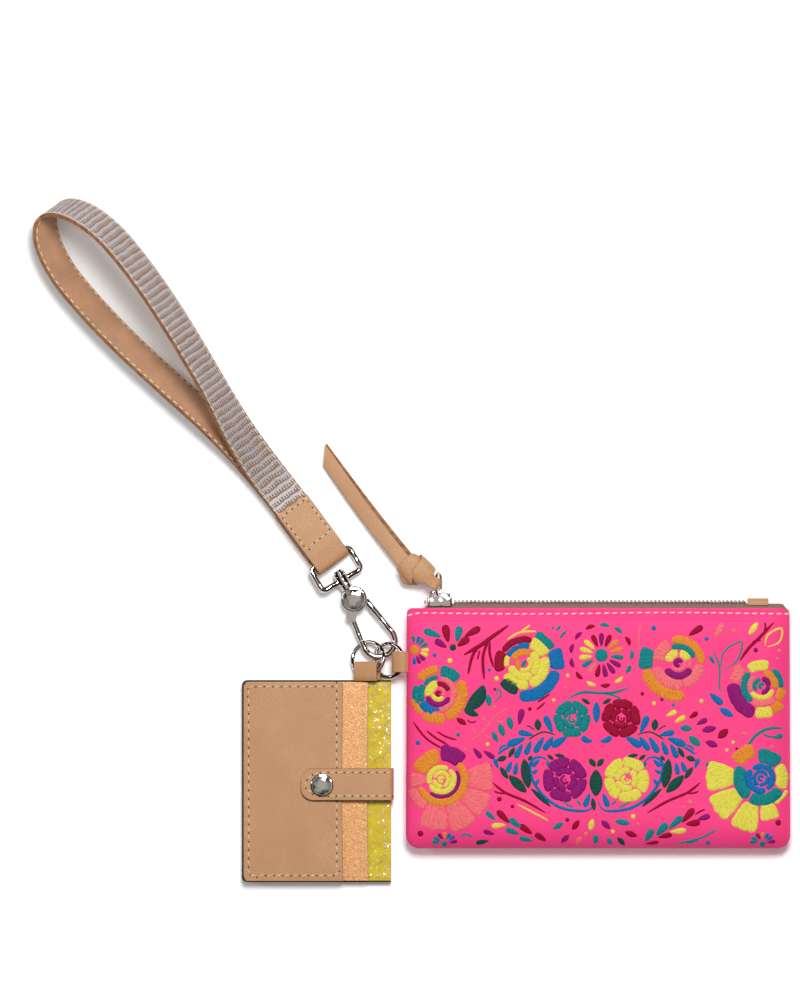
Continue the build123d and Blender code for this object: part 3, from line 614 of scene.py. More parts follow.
def pouch_z(x, y, front=True):
    """Height of the pouch's outer face."""
    profile = (FRONT_RISE, FRONT_REACH, FRONT_POWER) if front else (BACK_RISE, BACK_REACH, BACK_POWER)
    rise, reach, power = profile
    ripple, sag = (0.35, 0.35) if front else (0.1, 0.0)
    side, end, near = edge_distances(x, y)
    height = rise * swell(near, reach, power) * swell(max(side, end), reach, power)
    wave = noise.noise(Vector((x / 34, y / 30, 3.0 if front else 9.0)))
    inland = min(max(near, 0) / 14, 1)
    height += ripple * wave * inland - sag * inland
    if y > 40:
        left_end = smooth(x, MOUTH_X[0] - 2.5, MOUTH_X[0] + 1)
        right_end = smooth(x, MOUTH_X[1] - 4, MOUTH_X[1] - 0.5)
        mouth = left_end * (1 - right_end)
        height = max(height, MOUTH_RISE * mouth)
    return SEAM_Z + height if front else max(SEAM_Z - height, 0.02)


def outline(inset):
    """The pouch's outline moved in by inset."""
    points = []
    for sx, sy, corner in ((1, 1, TOP_CORNER_R), (-1, 1, TOP_CORNER_R), (-1, -1, BOTTOM_CORNER_R),
                           (1, -1, BOTTOM_CORNER_R)):
        radius = max(corner - inset, 0.15)
        y = (TOP_Y if sy > 0 else -BOTTOM_Y) - inset - radius
        x = (TOP_HALF_X if sy > 0 else BOTTOM_HALF_X) - inset - radius
        turn = {(1, 1): 0, (-1, 1): 90, (-1, -1): 180, (1, -1): 270}[(sx, sy)]
        for k in range(7):
            angle = radians(turn + 15 * k)
            points.append(Vector((sx * x + radius * cos(angle), sy * y + radius * sin(angle))))
    full = []
    for i, point in enumerate(points):
        follow = points[(i + 1) % len(points)]
        parts = max(ceil((follow - point).length / 2.2), 1)
        full += [point.lerp(follow, k / parts) for k in range(parts)]
    return full


PANEL_INSETS = (0, 0.12, 0.4, 0.9, 1.6, 2.6, 4.0)
PANEL_PITCH = 2.2


def flat_net(rim, inner):
    """Triangles that fill a flat outline, using the inner points too."""
    points = rim + inner
    result = delaunay_2d_cdt(points, [], [list(range(len(rim)))], 1, 1e-5)
    return result[0], result[2]


def pouch_grid():
    """Net of points and faces shared by the pouch's shells."""
    points = [p for inset in PANEL_INSETS[1:] for p in outline(inset)]
    rows = int((TOP_Y - BOTTOM_Y) / (PANEL_PITCH * 0.866))
    for j in range(rows + 1):
        y = BOTTOM_Y + j * PANEL_PITCH * 0.866
        columns = int(2 * BOTTOM_HALF_X / PANEL_PITCH)
        for i in range(columns + 1):
            x = -BOTTOM_HALF_X + (i + 0.5 * (j % 2)) * PANEL_PITCH
            if edge_distances(x, y)[2] > PANEL_INSETS[-1] + 1.2:
                points.append(Vector((x, y)))
    return flat_net(outline(0), points)


POUCH_NET = pouch_grid()


def pouch_skin(name, front, depth, thickness, materials):
    """Closed shell between two depths under the pouch's outer face."""
    flat, faces = POUCH_NET
    base = [Vector((p.x, p.y, pouch_z(p.x, p.y, front))) for p in flat]
    turned = [tuple(f) if front else tuple(reversed(f)) for f in faces]
    gauge = bpy.data.meshes.new("gauge")
    gauge.from_pydata(base, [], turned)
    normals = [v.normal.copy() for v in gauge.vertices]
    bpy.data.meshes.remove(gauge)
    near = [edge_distances(p.x, p.y)[2] for p in flat]
    for i, distance in enumerate(near):
        if distance < 0.05 and flat[i].y < TOP_Y - 1:
            side = Vector((normals[i].x, normals[i].y, 0))
            normals[i] = side.normalized() if side.length > 0.01 else normals[i]
    outer = [p - n * depth for p, n in zip(base, normals)]
    inner = [p - n * (depth + thickness) for p, n in zip(base, normals)]
    count = len(base)
    solid = list(turned) + [tuple(count + i for i in reversed(f)) for f in turned]
    marks = [0] * len(turned) + [len(materials) - 1] * len(turned)
    uses = {}
    for f in turned:
        for a, b in zip(f, f[1:] + f[:1]):
            uses[(a, b)] = True
    for a, b in list(uses):
        if (b, a) not in uses:
            solid.append((b, a, count + a, count + b))
            marks.append(min(1, len(materials) - 1))
    return make_piece(name, outer + inner, solid, materials, marks, sharp=60)


def ride_as(piece, body, slot, *nodes):
    """Puts a piece on its body and hides the nodes of the CAD model it replaces; slot is not used."""
    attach(piece, body)
    if nodes:
        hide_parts(*nodes)
    return piece


ride_as(pouch_skin("pouch_front_leather", True, 0, LEATHER_T, [PINK_HIDE, PINK_EDGE, LINING_CLOTH]),
        "pouch", "pink_leather", "pouch_front_panel")
ride_as(pouch_skin("pouch_back_leather", False, 0, LEATHER_T, [PINK_HIDE, PINK_EDGE, LINING_CLOTH]),
        "pouch", "pink_leather", "pouch_back_panel")
ride_as(pouch_skin("front_lining_cloth", True, LEATHER_T + 0.05, LINING_T, [LINING_CLOTH]),
        "pouch", "lining", "pouch_front_lining")
ride_as(pouch_skin("back_lining_cloth", False, LEATHER_T + 0.05, LINING_T, [LINING_CLOTH]),
        "pouch", "lining", "pouch_back_lining")


def pouch_stitches(front):
    """Top row of stitches, which wanders a little under the zip."""
    path = []
    for i in range(189):
        x = -94.0 + i
        y = TOP_Y - 2.6 + 0.35 * sin(x / 23) - 1.1 * max((-88 - x) / 6, 0) ** 1.5
        z = pouch_z(x, y, front) + (0.1 if front else -0.1)
        slope = pouch_z(x, y - 0.4, front) - pouch_z(x, y + 0.4, front)
        path.append(((x, y, z), (0, slope if front else -slope, 0.8 if front else -0.8)))
    return path


stitches("pouch_top_stitches", [pouch_stitches(True)], 4.1, 3.1, "pouch", CREAM_THREAD, 7,
         False, 0.95)
stitches("pouch_back_stitches", [pouch_stitches(False)], 4.1, 3.1, "pouch", CREAM_THREAD, 7,
         False, 0.95)


# ---------------------------------------------------------------- embroidery

FLOSS_HEIGHT, FLOSS_EDGE, FLOSS_PITCH = 0.38, 0.6, 1.15


def ribbon(spine, widths):
    """Outline of a band along a spine, and the spine itself."""
    left, right = [], []
    for i, point in enumerate(spine):
        run = (spine[min(i + 1, len(spine) - 1)] - spine[max(i - 1, 0)]).normalized()
        side = Vector((-run.y, run.x))
        left.append(point + side * widths[i] / 2)
        right.append(point - side * widths[i] / 2)
    return right + left[::-1], spine


def tip_to_tip(x0, y0, x1, y1, shape, bend=0.0):
    """Spine from one tip to the other, with the width that shape gives along it."""
    start, end = Vector((x0, y0)), Vector((x1, y1))
    run = end - start
    side = Vector((-run.y, run.x))
    steps = 14
    spine = [start + run * k / steps + side * bend * sin(pi * k / steps) for k in range(steps + 1)]
    return ribbon(spine, [max(shape(k / steps), 0.05) for k in range(steps + 1)])


def leaf(x0, y0, x1, y1, width, bend=0.0):
    """Pointed at both ends."""
    return tip_to_tip(x0, y0, x1, y1, lambda t: 1.12 * width * sin(pi * t) ** 0.7, bend)


def drop(x0, y0, x1, y1, width, bend=0.0):
    """Pointed at the first end and round at the second."""
    return tip_to_tip(x0, y0, x1, y1, lambda t: 1.36 * width * t ** 0.55 * sqrt(1 - t ** 4), bend)


def dot(x, y, radius):
    return tip_to_tip(x - radius, y, x + radius, y,
                      lambda t: 2 * radius * sqrt(max(1 - (2 * t - 1) ** 2, 0)))


def twig(width, *points):
    """Line that thins to a point at both ends."""
    spine = [Vector((p.x, p.y)) for p in through([(*p, 0) for p in points], steps=5)]
    last = len(spine) - 1
    return ribbon(spine, [width * min(1, 0.3 + 3.2 * min(i, last - i) / last) for i in range(last + 1)])


def petal(x, y, inner, outer, start, end, lobes=1):
    """Part of a ring round a flower's heart, with a lobed outer edge and rounded corners."""
    grow = min(0.35, 0.045 * outer)
    inner, outer = max(inner - grow, 0.05), outer + grow
    middle, half = (outer + inner) / 2, (outer - inner) / 2
    reach = 24 / max(middle, 2.6)
    start, end = start - reach, end + reach
    steps = 10 * lobes + 6
    outside, inside, spine = [], [], []
    for k in range(steps + 1):
        part = k / steps
        angle = radians(start + (end - start) * part)
        rounding = max(1 - abs(2 * part - 1) ** 9, 0) ** 0.5
        wave = (0.09 * half + 0.1) * (1 + abs(sin(pi * lobes * part)) ** 0.6)
        wave += 0.3 * noise.noise(Vector((x + 0.4 * middle * cos(angle), y + 0.4 * middle * sin(angle), 0)))
        unit = Vector((cos(angle), sin(angle)))
        outside.append(Vector((x, y)) + unit * (middle + (half - 0.25 + wave) * rounding))
        inside.append(Vector((x, y)) + unit * (middle - half * rounding))
        spine.append(Vector((x, y)) + unit * middle)
    return outside + inside[::-1], spine


def mirrored(shape, about=-1.0):
    """The same shape on the other side of the pouch's middle line."""
    rim, spine = ([Vector((2 * about - p.x, p.y)) for p in points] for points in shape)
    return rim[::-1], spine


def rose(x, y, size, colour, turn):
    """Small rose in one colour: ring of petals round a folded heart."""
    for k in range(5):
        yield colour, petal(x, y, 0.57 * size, 0.97 * size, turn + 72 * k, turn + 72 * k + 68, 2)
    for k in range(3):
        yield colour, petal(x, y, 0.28 * size, 0.52 * size, turn + 40 + 120 * k, turn + 150 + 120 * k, 1)
    yield colour, petal(x, y, 0.11 * size, 0.23 * size, turn + 80, turn + 330, 1)
    yield colour, dot(x + 0.02 * size, y, 0.06 * size)


def flower(x, y, parts):
    """Large rose from (colour, inner, outer, start, end, lobes) rings."""
    for colour, inner, outer, start, end, lobes in parts:
        yield colour, petal(x, y, inner, outer, start, end, lobes)


def upper_left_motifs():
    """Sprigs, sun and dots above the roses."""
    heart = (-91.8, 38.6)
    yield "orange", dot(*heart, 2.4)
    rays = (("teal", 95, 1.8), ("blue", 70, 2.0), ("teal", 50, 2.0), ("teal", 26, 2.2), ("yellow", 0, 2.2),
            ("yellow", -22, 2.2), ("purple", -45, 2.2), ("purple", -68, 2.0), ("blue", -90, 2.0))
    for colour, turn, width in rays:
        c, s = cos(radians(turn)), sin(radians(turn))
        yield colour, drop(heart[0] + 3.1 * c, heart[1] + 3.1 * s, heart[0] + 7.4 * c, heart[1] + 7.4 * s,
                           width)
    yield "teal", drop(-78.5, 45.2, -87.3, 48.6, 3.8)
    yield "burgundy", drop(-75.0, 42.4, -76.6, 51.4, 4.2)
    yield "purple", drop(-75.7, 39.9, -81.6, 43.6, 3.6)
    yield "teal", drop(-70.7, 42.4, -69.1, 50.8, 3.9)
    yield "burgundy", drop(-66.8, 45.3, -58.8, 49.9, 3.7)
    yield "burgundy", drop(-70.4, 40.5, -64.5, 44.8, 4.0)
    yield "green", dot(-72.6, 39.9, 1.7)
    for x, y, radius, colour in ((-81.7, 36.1, 1.1, "blue"), (-74.1, 33.3, 1.3, "yellow"),
                                 (-54.4, 28.7, 0.9, "blue"),
                                 (-50.8, 24.4, 1.2, "yellow"), (-51.7, 19.0, 0.8, "purple"),
                                 (-15.3, 25.9, 1.0, "yellow"),
                                 (-16.6, 19.7, 0.9, "salmon"), (-22.3, 13.6, 0.9, "yellow")):
        yield colour, dot(x, y, radius)
    for width, points in ((2.2, ((-44.6, 51.1), (-53.6, 44.8), (-58.6, 41.1), (-67.3, 36.1))),
                          (1.6, ((-59.2, 41.1), (-62.9, 35.5), (-65.1, 26.2))),
                          (1.6, ((-54.8, 43.4), (-57.6, 35.5), (-57.0, 23.7))),
                          (1.4, ((-54.2, 43.4), (-54.2, 36.8), (-52.3, 29.9))),
                          (1.0, ((-59.2, 38.6), (-60.4, 33.6)))):
        yield "burgundy", twig(width, *points)
    yield "yellow", twig(1.2, (-45.5, 43.9), (-39.3, 47.3), (-30.9, 48.0))
    yield "yellow", twig(1.1, (-38.7, 47.6), (-34.0, 51.1))
    yield "teal", leaf(-23.4, 48.6, -22.4, 50.6, 1.0)
    yield "teal", leaf(-20.9, 48.0, -18.8, 51.2, 1.4)
    yield "teal", leaf(-19.7, 44.2, -15.6, 48.7, 1.4)
    yield "green", leaf(-66.6, 8.8, -57.2, 21.4, 6.4, -0.12)
    yield "green", drop(-59.6, 6.0, -66.4, 10.2, 4.2, 0.1)
    yield "teal", leaf(-54.4, 10.4, -55.2, 16.8, 2.8)
    yield "teal", twig(0.9, (-53.0, 11.6), (-48.6, 16.2), (-50.0, 19.4), (-51.0, 15.5))
    yield "burgundy", leaf(-70.9, 4.6, -65.8, 1.4, 2.6)
    yield "purple", twig(0.9, (-65.6, 3.9), (-63.4, 2.5), (-60.6, 3.2))
    yield "purple", drop(-39.6, 1.3, -38.0, 9.4, 3.4)
    yield "burgundy", twig(1.1, (-30.6, 12.5), (-24.0, 16.9))
    yield "burgundy", twig(1.1, (-30.9, 8.8), (-26.5, 12.5))
    yield "burgundy", dot(-34.2, 9.2, 1.0)
    yield "teal", leaf(-44.9, 5.7, -43.3, -1.2, 3.0)
    yield "teal", leaf(-49.4, 2.0, -47.2, -4.6, 3.0)
    yield "teal", leaf(-53.0, -1.8, -50.2, -7.4, 2.4)
    yield "salmon", twig(0.8, (-64.5, -7.0), (-58.0, -2.5), (-52.5, 4.5), (-44.5, 10.5))
    for x, y, turn in ((-61.0, -3.2, 120), (-55.8, 2.6, 130), (-50.6, 8.4, 125), (-57.4, -3.6, -30),
                       (-50.8, 3.4, -20)):
        c, s = cos(radians(turn)), sin(radians(turn))
        yield "salmon", leaf(x, y, x + 4.2 * c, y + 4.2 * s, 1.2)


def large_roses():
    """The big flowers, each a ring of petals about its centre."""
    yield from flower(-79.8, 16.8, (
        ("orange", 10.2, 13.6, 92, 142, 2), ("teal", 8.8, 13.8, 38, 84, 3),
        ("orange", 9.6, 14.0, -72, 31, 4),
        ("orange", 9.8, 14.4, -125, -77, 2), ("orange", 11.4, 13.9, -168, -130, 1),
        ("salmon", 6.6, 9.0, -95, 80, 3),
        ("burgundy", 4.0, 6.0, 20, 95, 1), ("purple", 4.4, 6.6, -165, -20, 3),
        ("blue", 7.2, 11.0, -152, -105, 2),
        ("blue", 7.0, 8.4, -103, -48, 1), ("teal", 7.4, 9.8, 150, 204, 2),
        ("teal", 10.4, 12.6, 160, 206, 1),
        ("teal", 7.4, 9.0, 92, 146, 1), ("yellow", 2.7, 6.4, 100, 190, 2),
        ("yellow", 1.8, 3.7, 195, 320, 1),
        ("burgundy", 0.2, 1.6, 0, 330, 1), ("salmon", 2.0, 3.6, -20, 80, 1)))
    yield from flower(-37.0, 31.7, (
        ("yellow", 2.3, 4.2, -130, 60, 1), ("orange", 2.3, 4.0, 150, 225, 1),
        ("orange", 4.5, 7.4, 62, 155, 2),
        ("yellow", 4.8, 7.6, -50, 56, 2), ("yellow", 4.8, 8.0, -170, -56, 3),
        ("blue", 7.7, 10.2, 76, 108, 1),
        ("blue", 7.7, 9.9, 112, 152, 2), ("yellow", 8.3, 13.4, 24, 72, 2),
        ("yellow", 8.2, 12.2, -74, 18, 3),
        ("yellow", 8.5, 12.2, -150, -80, 3), ("burgundy", 10.9, 13.4, 72, 148, 2),
        ("burgundy", 10.2, 14.4, 151, 196, 2),
        ("teal", 14.2, 17.4, 30, 68, 2), ("blue", 13.0, 19.2, -9, 26, 2), ("blue", 13.2, 18.4, -98, -13, 4),
        ("green", 9.6, 15.4, -142, -104, 2), ("yellow", 7.9, 10.0, 156, 186, 1)))
    yield "teal", leaf(-38.4, 29.9, -36.0, 33.9, 1.9)
    yield from flower(39.9, 32.2, (
        ("purple", 0.3, 2.3, 0, 300, 1), ("salmon", 2.8, 4.2, -150, 15, 1), ("yellow", 3.2, 6.4, 22, 78, 1),
        ("yellow", 3.2, 6.6, 96, 168, 2), ("purple", 5.0, 7.9, -152, -28, 3),
        ("teal", 7.0, 9.2, 20, 112, 2),
        ("orange", 9.8, 13.0, -2, 106, 3), ("salmon", 7.4, 12.6, 116, 174, 2),
        ("salmon", 8.4, 12.8, -76, -6, 3),
        ("salmon", 8.4, 13.2, -168, -80, 3), ("teal", 13.0, 19.0, 154, 190, 2),
        ("orange", 13.8, 18.6, -168, -80, 4), ("salmon", 5.0, 6.6, -22, 16, 1)))
    yield from flower(81.4, 20.7, (
        ("teal", 0.3, 1.7, 0, 300, 1), ("purple", 2.3, 4.6, 5, 82, 1), ("purple", 2.3, 4.4, -84, -5, 1),
        ("teal", 2.4, 4.2, 100, 220, 1), ("yellow", 4.8, 6.8, -146, -20, 3),
        ("orange", 5.4, 8.2, -8, 76, 2),
        ("salmon", 4.8, 6.8, 130, 206, 1), ("yellow", 8.0, 12.2, 72, 126, 2),
        ("teal", 7.4, 10.0, 134, 236, 3),
        ("teal", 8.8, 10.8, -4, 54, 1), ("salmon", 7.4, 10.2, -118, -46, 3),
        ("orange", 8.6, 12.0, -40, -8, 2),
        ("salmon", 10.7, 15.4, 136, 172, 2), ("purple", 10.8, 16.6, 176, 254, 4),
        ("yellow", 10.9, 15.4, -102, -68, 2), ("orange", 10.9, 15.0, -64, -42, 1)))
    yield from flower(-78.3, -26.0, (
        ("yellow", 0.3, 1.9, 0, 320, 1), ("yellow", 2.5, 4.4, -70, 165, 2),
        ("yellow", 2.6, 4.6, 185, 275, 1),
        ("yellow", 5.1, 7.0, 60, 200, 3), ("yellow", 5.1, 7.2, 206, 410, 3),
        ("purple", 7.9, 9.2, -130, 30, 3),
        ("orange", 9.8, 13.0, -160, 46, 6), ("orange", 8.0, 14.8, 96, 162, 2),
        ("purple", 9.6, 16.6, 42, 91, 3),
        ("salmon", 8.0, 14.8, 167, 196, 2), ("salmon", 13.6, 24.6, -15, 21, 3),
        ("salmon", 13.6, 25.2, -47, -17, 3),
        ("salmon", 13.6, 25.8, -80, -49, 3), ("salmon", 13.6, 24.4, -118, -82, 3),
        ("salmon", 13.6, 17.4, -162, -120, 2)))
    yield from flower(81.0, -25.3, (
        ("blue", 0.3, 1.8, 0, 320, 1), ("blue", 2.4, 4.2, 20, 250, 2), ("blue", 2.4, 4.2, 262, 372, 1),
        ("blue", 4.8, 7.0, -60, 130, 3), ("blue", 4.8, 7.4, 140, 290, 3), ("teal", 8.1, 13.0, 150, 236, 3),
        ("teal", 8.1, 13.2, 242, 328, 3), ("teal", 7.8, 14.0, 40, 96, 2),
        ("orange", 11.2, 17.4, 104, 146, 2),
        ("yellow", 8.2, 13.0, -26, 34, 3), ("yellow", 13.9, 26.0, 160, 195, 3),
        ("yellow", 13.9, 26.6, 199, 231, 3),
        ("yellow", 13.9, 26.2, 235, 266, 3), ("yellow", 13.9, 20.6, 270, 297, 2),
        ("yellow", 13.9, 15.0, 301, 334, 2)))
    yield from rose(-13.2, 4.3, 8.9, "teal", 20)
    yield from rose(11.3, 4.5, 9.4, "burgundy", 50)
    yield from rose(-16.7, -26.0, 10.8, "purple", 5)
    yield from rose(14.1, -26.0, 11.0, "yellow", 32)


def daisy():
    """Daisy in the middle of the top edge, with a ring of loose dashes round it."""
    x, y = 1.5, 36.0
    yield "teal", dot(x, y, 3.3)
    order = ("purple", "burgundy", "orange", "orange", "teal", "purple", "purple", "purple", "burgundy",
             "salmon", "teal", "yellow", "yellow", "yellow", "burgundy")
    for k, colour in enumerate(order):
        angle = radians(90 - 24 * k)
        c, s = cos(angle), sin(angle)
        yield colour, drop(x + 4.4 * c, y + 4.4 * s, x + 11.3 * c, y + 11.3 * s, 2.7)
    dashes = ("teal", "teal", "burgundy", "teal", "teal", "yellow", "burgundy", "yellow", "burgundy",
              "purple", "purple", "purple", "burgundy")
    for k, colour in enumerate(dashes):
        angle = radians(84 - 360 / 13 * k)
        c, s = cos(angle), sin(angle)
        yield colour, leaf(x + 14.6 * c + 2.6 * s, y + 14.6 * s - 2.6 * c, x + 14.8 * c - 2.6 * s,
                           y + 14.8 * s + 2.6 * c, 2.0, -0.12)
    yield "teal", twig(1.5, (-15.5, 14.3), (-8.2, 17.5), (0.5, 17.2), (8.4, 17.6), (16.0, 20.3))
    yield "teal", twig(1.1, (0.5, 17.2), (7.0, 16.2), (12.7, 13.4))


def upper_right_motifs():
    yield "salmon", twig(1.0, (21.0, 51.0), (20.1, 44.0), (20.5, 38.0))
    yield "burgundy", drop(45.0, 45.8, 52.2, 50.6, 3.4)
    yield "blue", dot(27.6, 49.6, 1.3)
    yield "blue", dot(54.0, 44.2, 1.1)
    yield "salmon", drop(58.2, 44.6, 62.4, 51.8, 3.6)
    yield "salmon", dot(67.6, 48.1, 1.1)
    yield "yellow", leaf(75.1, 46.2, 79.6, 52.5, 2.8)
    yield "burgundy", twig(1.7, (87.7, 52.6), (80.6, 45.0), (75.0, 39.5), (70.5, 33.1))
    yield "burgundy", twig(1.1, (76.3, 41.6), (78.6, 43.4), (81.2, 43.4))
    yield "burgundy", twig(1.1, (82.6, 47.4), (83.4, 50.2), (83.0, 52.6))
    yield "yellow", twig(1.0, (83.0, 39.8), (84.6, 46.2), (91.4, 49.4), (90.4, 42.6), (83.0, 39.8))
    yield "purple", dot(78.5, 38.6, 1.2)
    yield "salmon", dot(90.4, 38.2, 1.1)
    yield "salmon", dot(89.4, 34.4, 0.8)
    yield "teal", twig(1.0, (61.2, 27.7), (62.6, 37.6), (71.4, 42.7), (69.4, 33.6), (61.2, 27.7))
    yield "teal", twig(1.0, (56.5, 39.5), (59.7, 32.8), (60.6, 27.7), (60.3, 21.3), (61.3, 16.2))
    yield "teal", leaf(55.2, 36.0, 58.0, 31.6, 1.8)
    yield "blue", drop(55.4, 17.2, 62.0, 11.4, 3.8)
    yield "blue", leaf(60.4, 9.6, 67.4, 5.4, 3.2)
    for x, y, radius, colour in ((27.8, 12.0, 1.1, "yellow"), (51.4, 13.2, 1.1, "yellow"),
                                 (21.9, 16.8, 1.0, "burgundy"),
                                 (31.7, 14.0, 1.0, "purple"), (37.4, 11.2, 0.9, "teal")):
        yield colour, dot(x, y, radius)
    for colour, shape in (("yellow", drop(33.8, 5.6, 39.2, 8.2, 2.6)),
                          ("yellow", drop(38.1, 2.5, 43.5, 5.7, 2.8)),
                          ("burgundy", drop(45.4, 4.6, 49.6, 7.6, 2.8)),
                          ("purple", drop(48.9, 1.4, 54.4, 4.2, 2.9)),
                          ("teal", leaf(40.6, -0.1, 46.9, -0.7, 3.0)),
                          ("teal", leaf(45.1, -4.3, 51.0, -9.2, 3.5)),
                          ("purple", leaf(51.5, -1.7, 58.9, -0.1, 3.1)),
                          ("purple", leaf(53.4, -7.0, 59.7, -9.4, 3.1)),
                          ("burgundy", leaf(59.6, -5.4, 64.8, -0.8, 3.6))):
        yield colour, shape
    yield "teal", twig(1.6, (73.5, -10.9), (78.3, -4.2), (84.6, -0.7), (92.6, -0.4))
    yield "teal", twig(1.1, (81.6, -3.0), (85.4, -4.6), (89.0, -4.6))
    yield "teal", drop(87.4, -5.2, 92.2, -4.0, 2.8)
    for x, y, radius, colour in ((67.3, -7.4, 0.9, "yellow"), (64.1, -11.3, 0.9, "yellow"),
                                 (69.0, -10.6, 0.8, "purple"),
                                 (72.9, -3.2, 1.1, "salmon"), (86.6, -9.6, 0.9, "salmon"),
                                 (54.4, -18.4, 1.1, "teal"),
                                 (89.8, -47.6, 1.5, "burgundy"), (45.7, -37.4, 1.4, "salmon"),
                                 (42.6, -39.9, 0.8, "salmon")):
        yield colour, dot(x, y, radius)


def medallion_half():
    """Right half of the garland that frames the four small roses."""
    blue = ((20.9, -2.9, 24.7, 6.0, 3.6), (30.4, -3.9, 38.1, -2.2, 3.3), (34.3, -5.2, 43.6, -8.8, 4.1),
            (13.5, -4.5, 21.6, -9.6, 4.1), (20.4, -4.3, 25.4, -11.6, 3.4), (25.2, -4.5, 30.0, -12.9, 3.5),
            (31.6, -6.6, 34.4, -13.9, 3.1), (35.9, -8.0, 39.5, -15.5, 3.3), (38.7, -17.2, 39.7, -23.8, 2.7),
            (41.3, -16.8, 43.6, -22.3, 2.8), (48.0, -20.6, 50.0, -15.4, 2.4),
            (27.3, -15.9, 31.2, -19.6, 2.6),
            (28.0, -21.0, 31.0, -23.0, 2.2), (27.4, -25.4, 29.6, -28.8, 2.0), (2.2, -32.6, 5.0, -39.9, 3.1),
            (22.4, -20.6, 23.6, -17.0, 1.8))
    for x0, y0, x1, y1, width in blue:
        yield "blue", drop(x0, y0, x1, y1, width)
    yield "blue", twig(1.5, (41.9, -9.3), (45.4, -11.2), (48.4, -13.4))
    yield "blue", twig(1.2, (43.4, -8.6), (46.2, -9.6), (47.6, -11.4))
    yield "blue", twig(1.7, (22.5, -17.6), (26.0, -14.9), (30.6, -15.8), (32.2, -20.1), (30.4, -27.2),
                       (24.7, -34.8), (17.0, -39.9), (8.8, -41.6), (2.4, -41.0), (-0.4, -36.4))
    green = ((27.9, -1.7, 28.5, 4.3, 3.1), (39.7, -9.8, 42.9, -15.2, 2.2), (43.6, -14.6, 48.6, -16.5, 2.6),
             (43.0, -25.8, 47.2, -19.6, 2.5), (33.8, -32.6, 42.8, -23.8, 4.4),
             (32.8, -30.6, 35.2, -15.4, 4.8),
             (31.0, -14.0, 33.2, -16.6, 1.6), (14.5, -14.7, 20.0, -13.5, 1.9),
             (20.2, -16.2, 23.6, -13.6, 1.8),
             (-0.6, -19.6, 2.6, -15.5, 2.6), (21.5, -39.8, 31.9, -30.2, 2.3))
    for x0, y0, x1, y1, width in green:
        yield "green", leaf(x0, y0, x1, y1, width)
    yield "green", twig(0.9, (18.3, -4.2), (25.0, -2.2), (30.4, -4.4), (33.0, -6.4))
    yield "green", twig(0.8, (29.8, -1.4), (32.2, 0.4), (34.0, 0.8))
    yield "teal", leaf(6.5, -39.0, 9.0, -36.2, 1.2)
    yield "teal", twig(1.0, (10.0, -40.0), (13.6, -38.4), (16.4, -35.8))


def garland():
    """Both halves of the medallion and the twigs between them."""
    for colour, shape in medallion_half():
        yield colour, shape
        yield colour, mirrored(shape)
    yield "blue", leaf(-1.0, 2.0, -1.0, 13.2, 3.4)
    yield "blue", drop(0.6, -6.8, 6.4, -4.4, 3.2, -0.15)
    yield "blue", drop(-2.6, -6.8, -8.4, -4.4, 3.2, 0.15)
    yield "green", leaf(-1.2, -20.8, -1.2, -34.6, 6.0)
    yield "green", leaf(-4.0, 11.6, -8.4, 14.4, 1.9)
    yield "green", leaf(2.0, 11.6, 6.4, 14.4, 1.9)
    yield "green", leaf(-3.0, -35.0, -2.0, -41.6, 2.3)


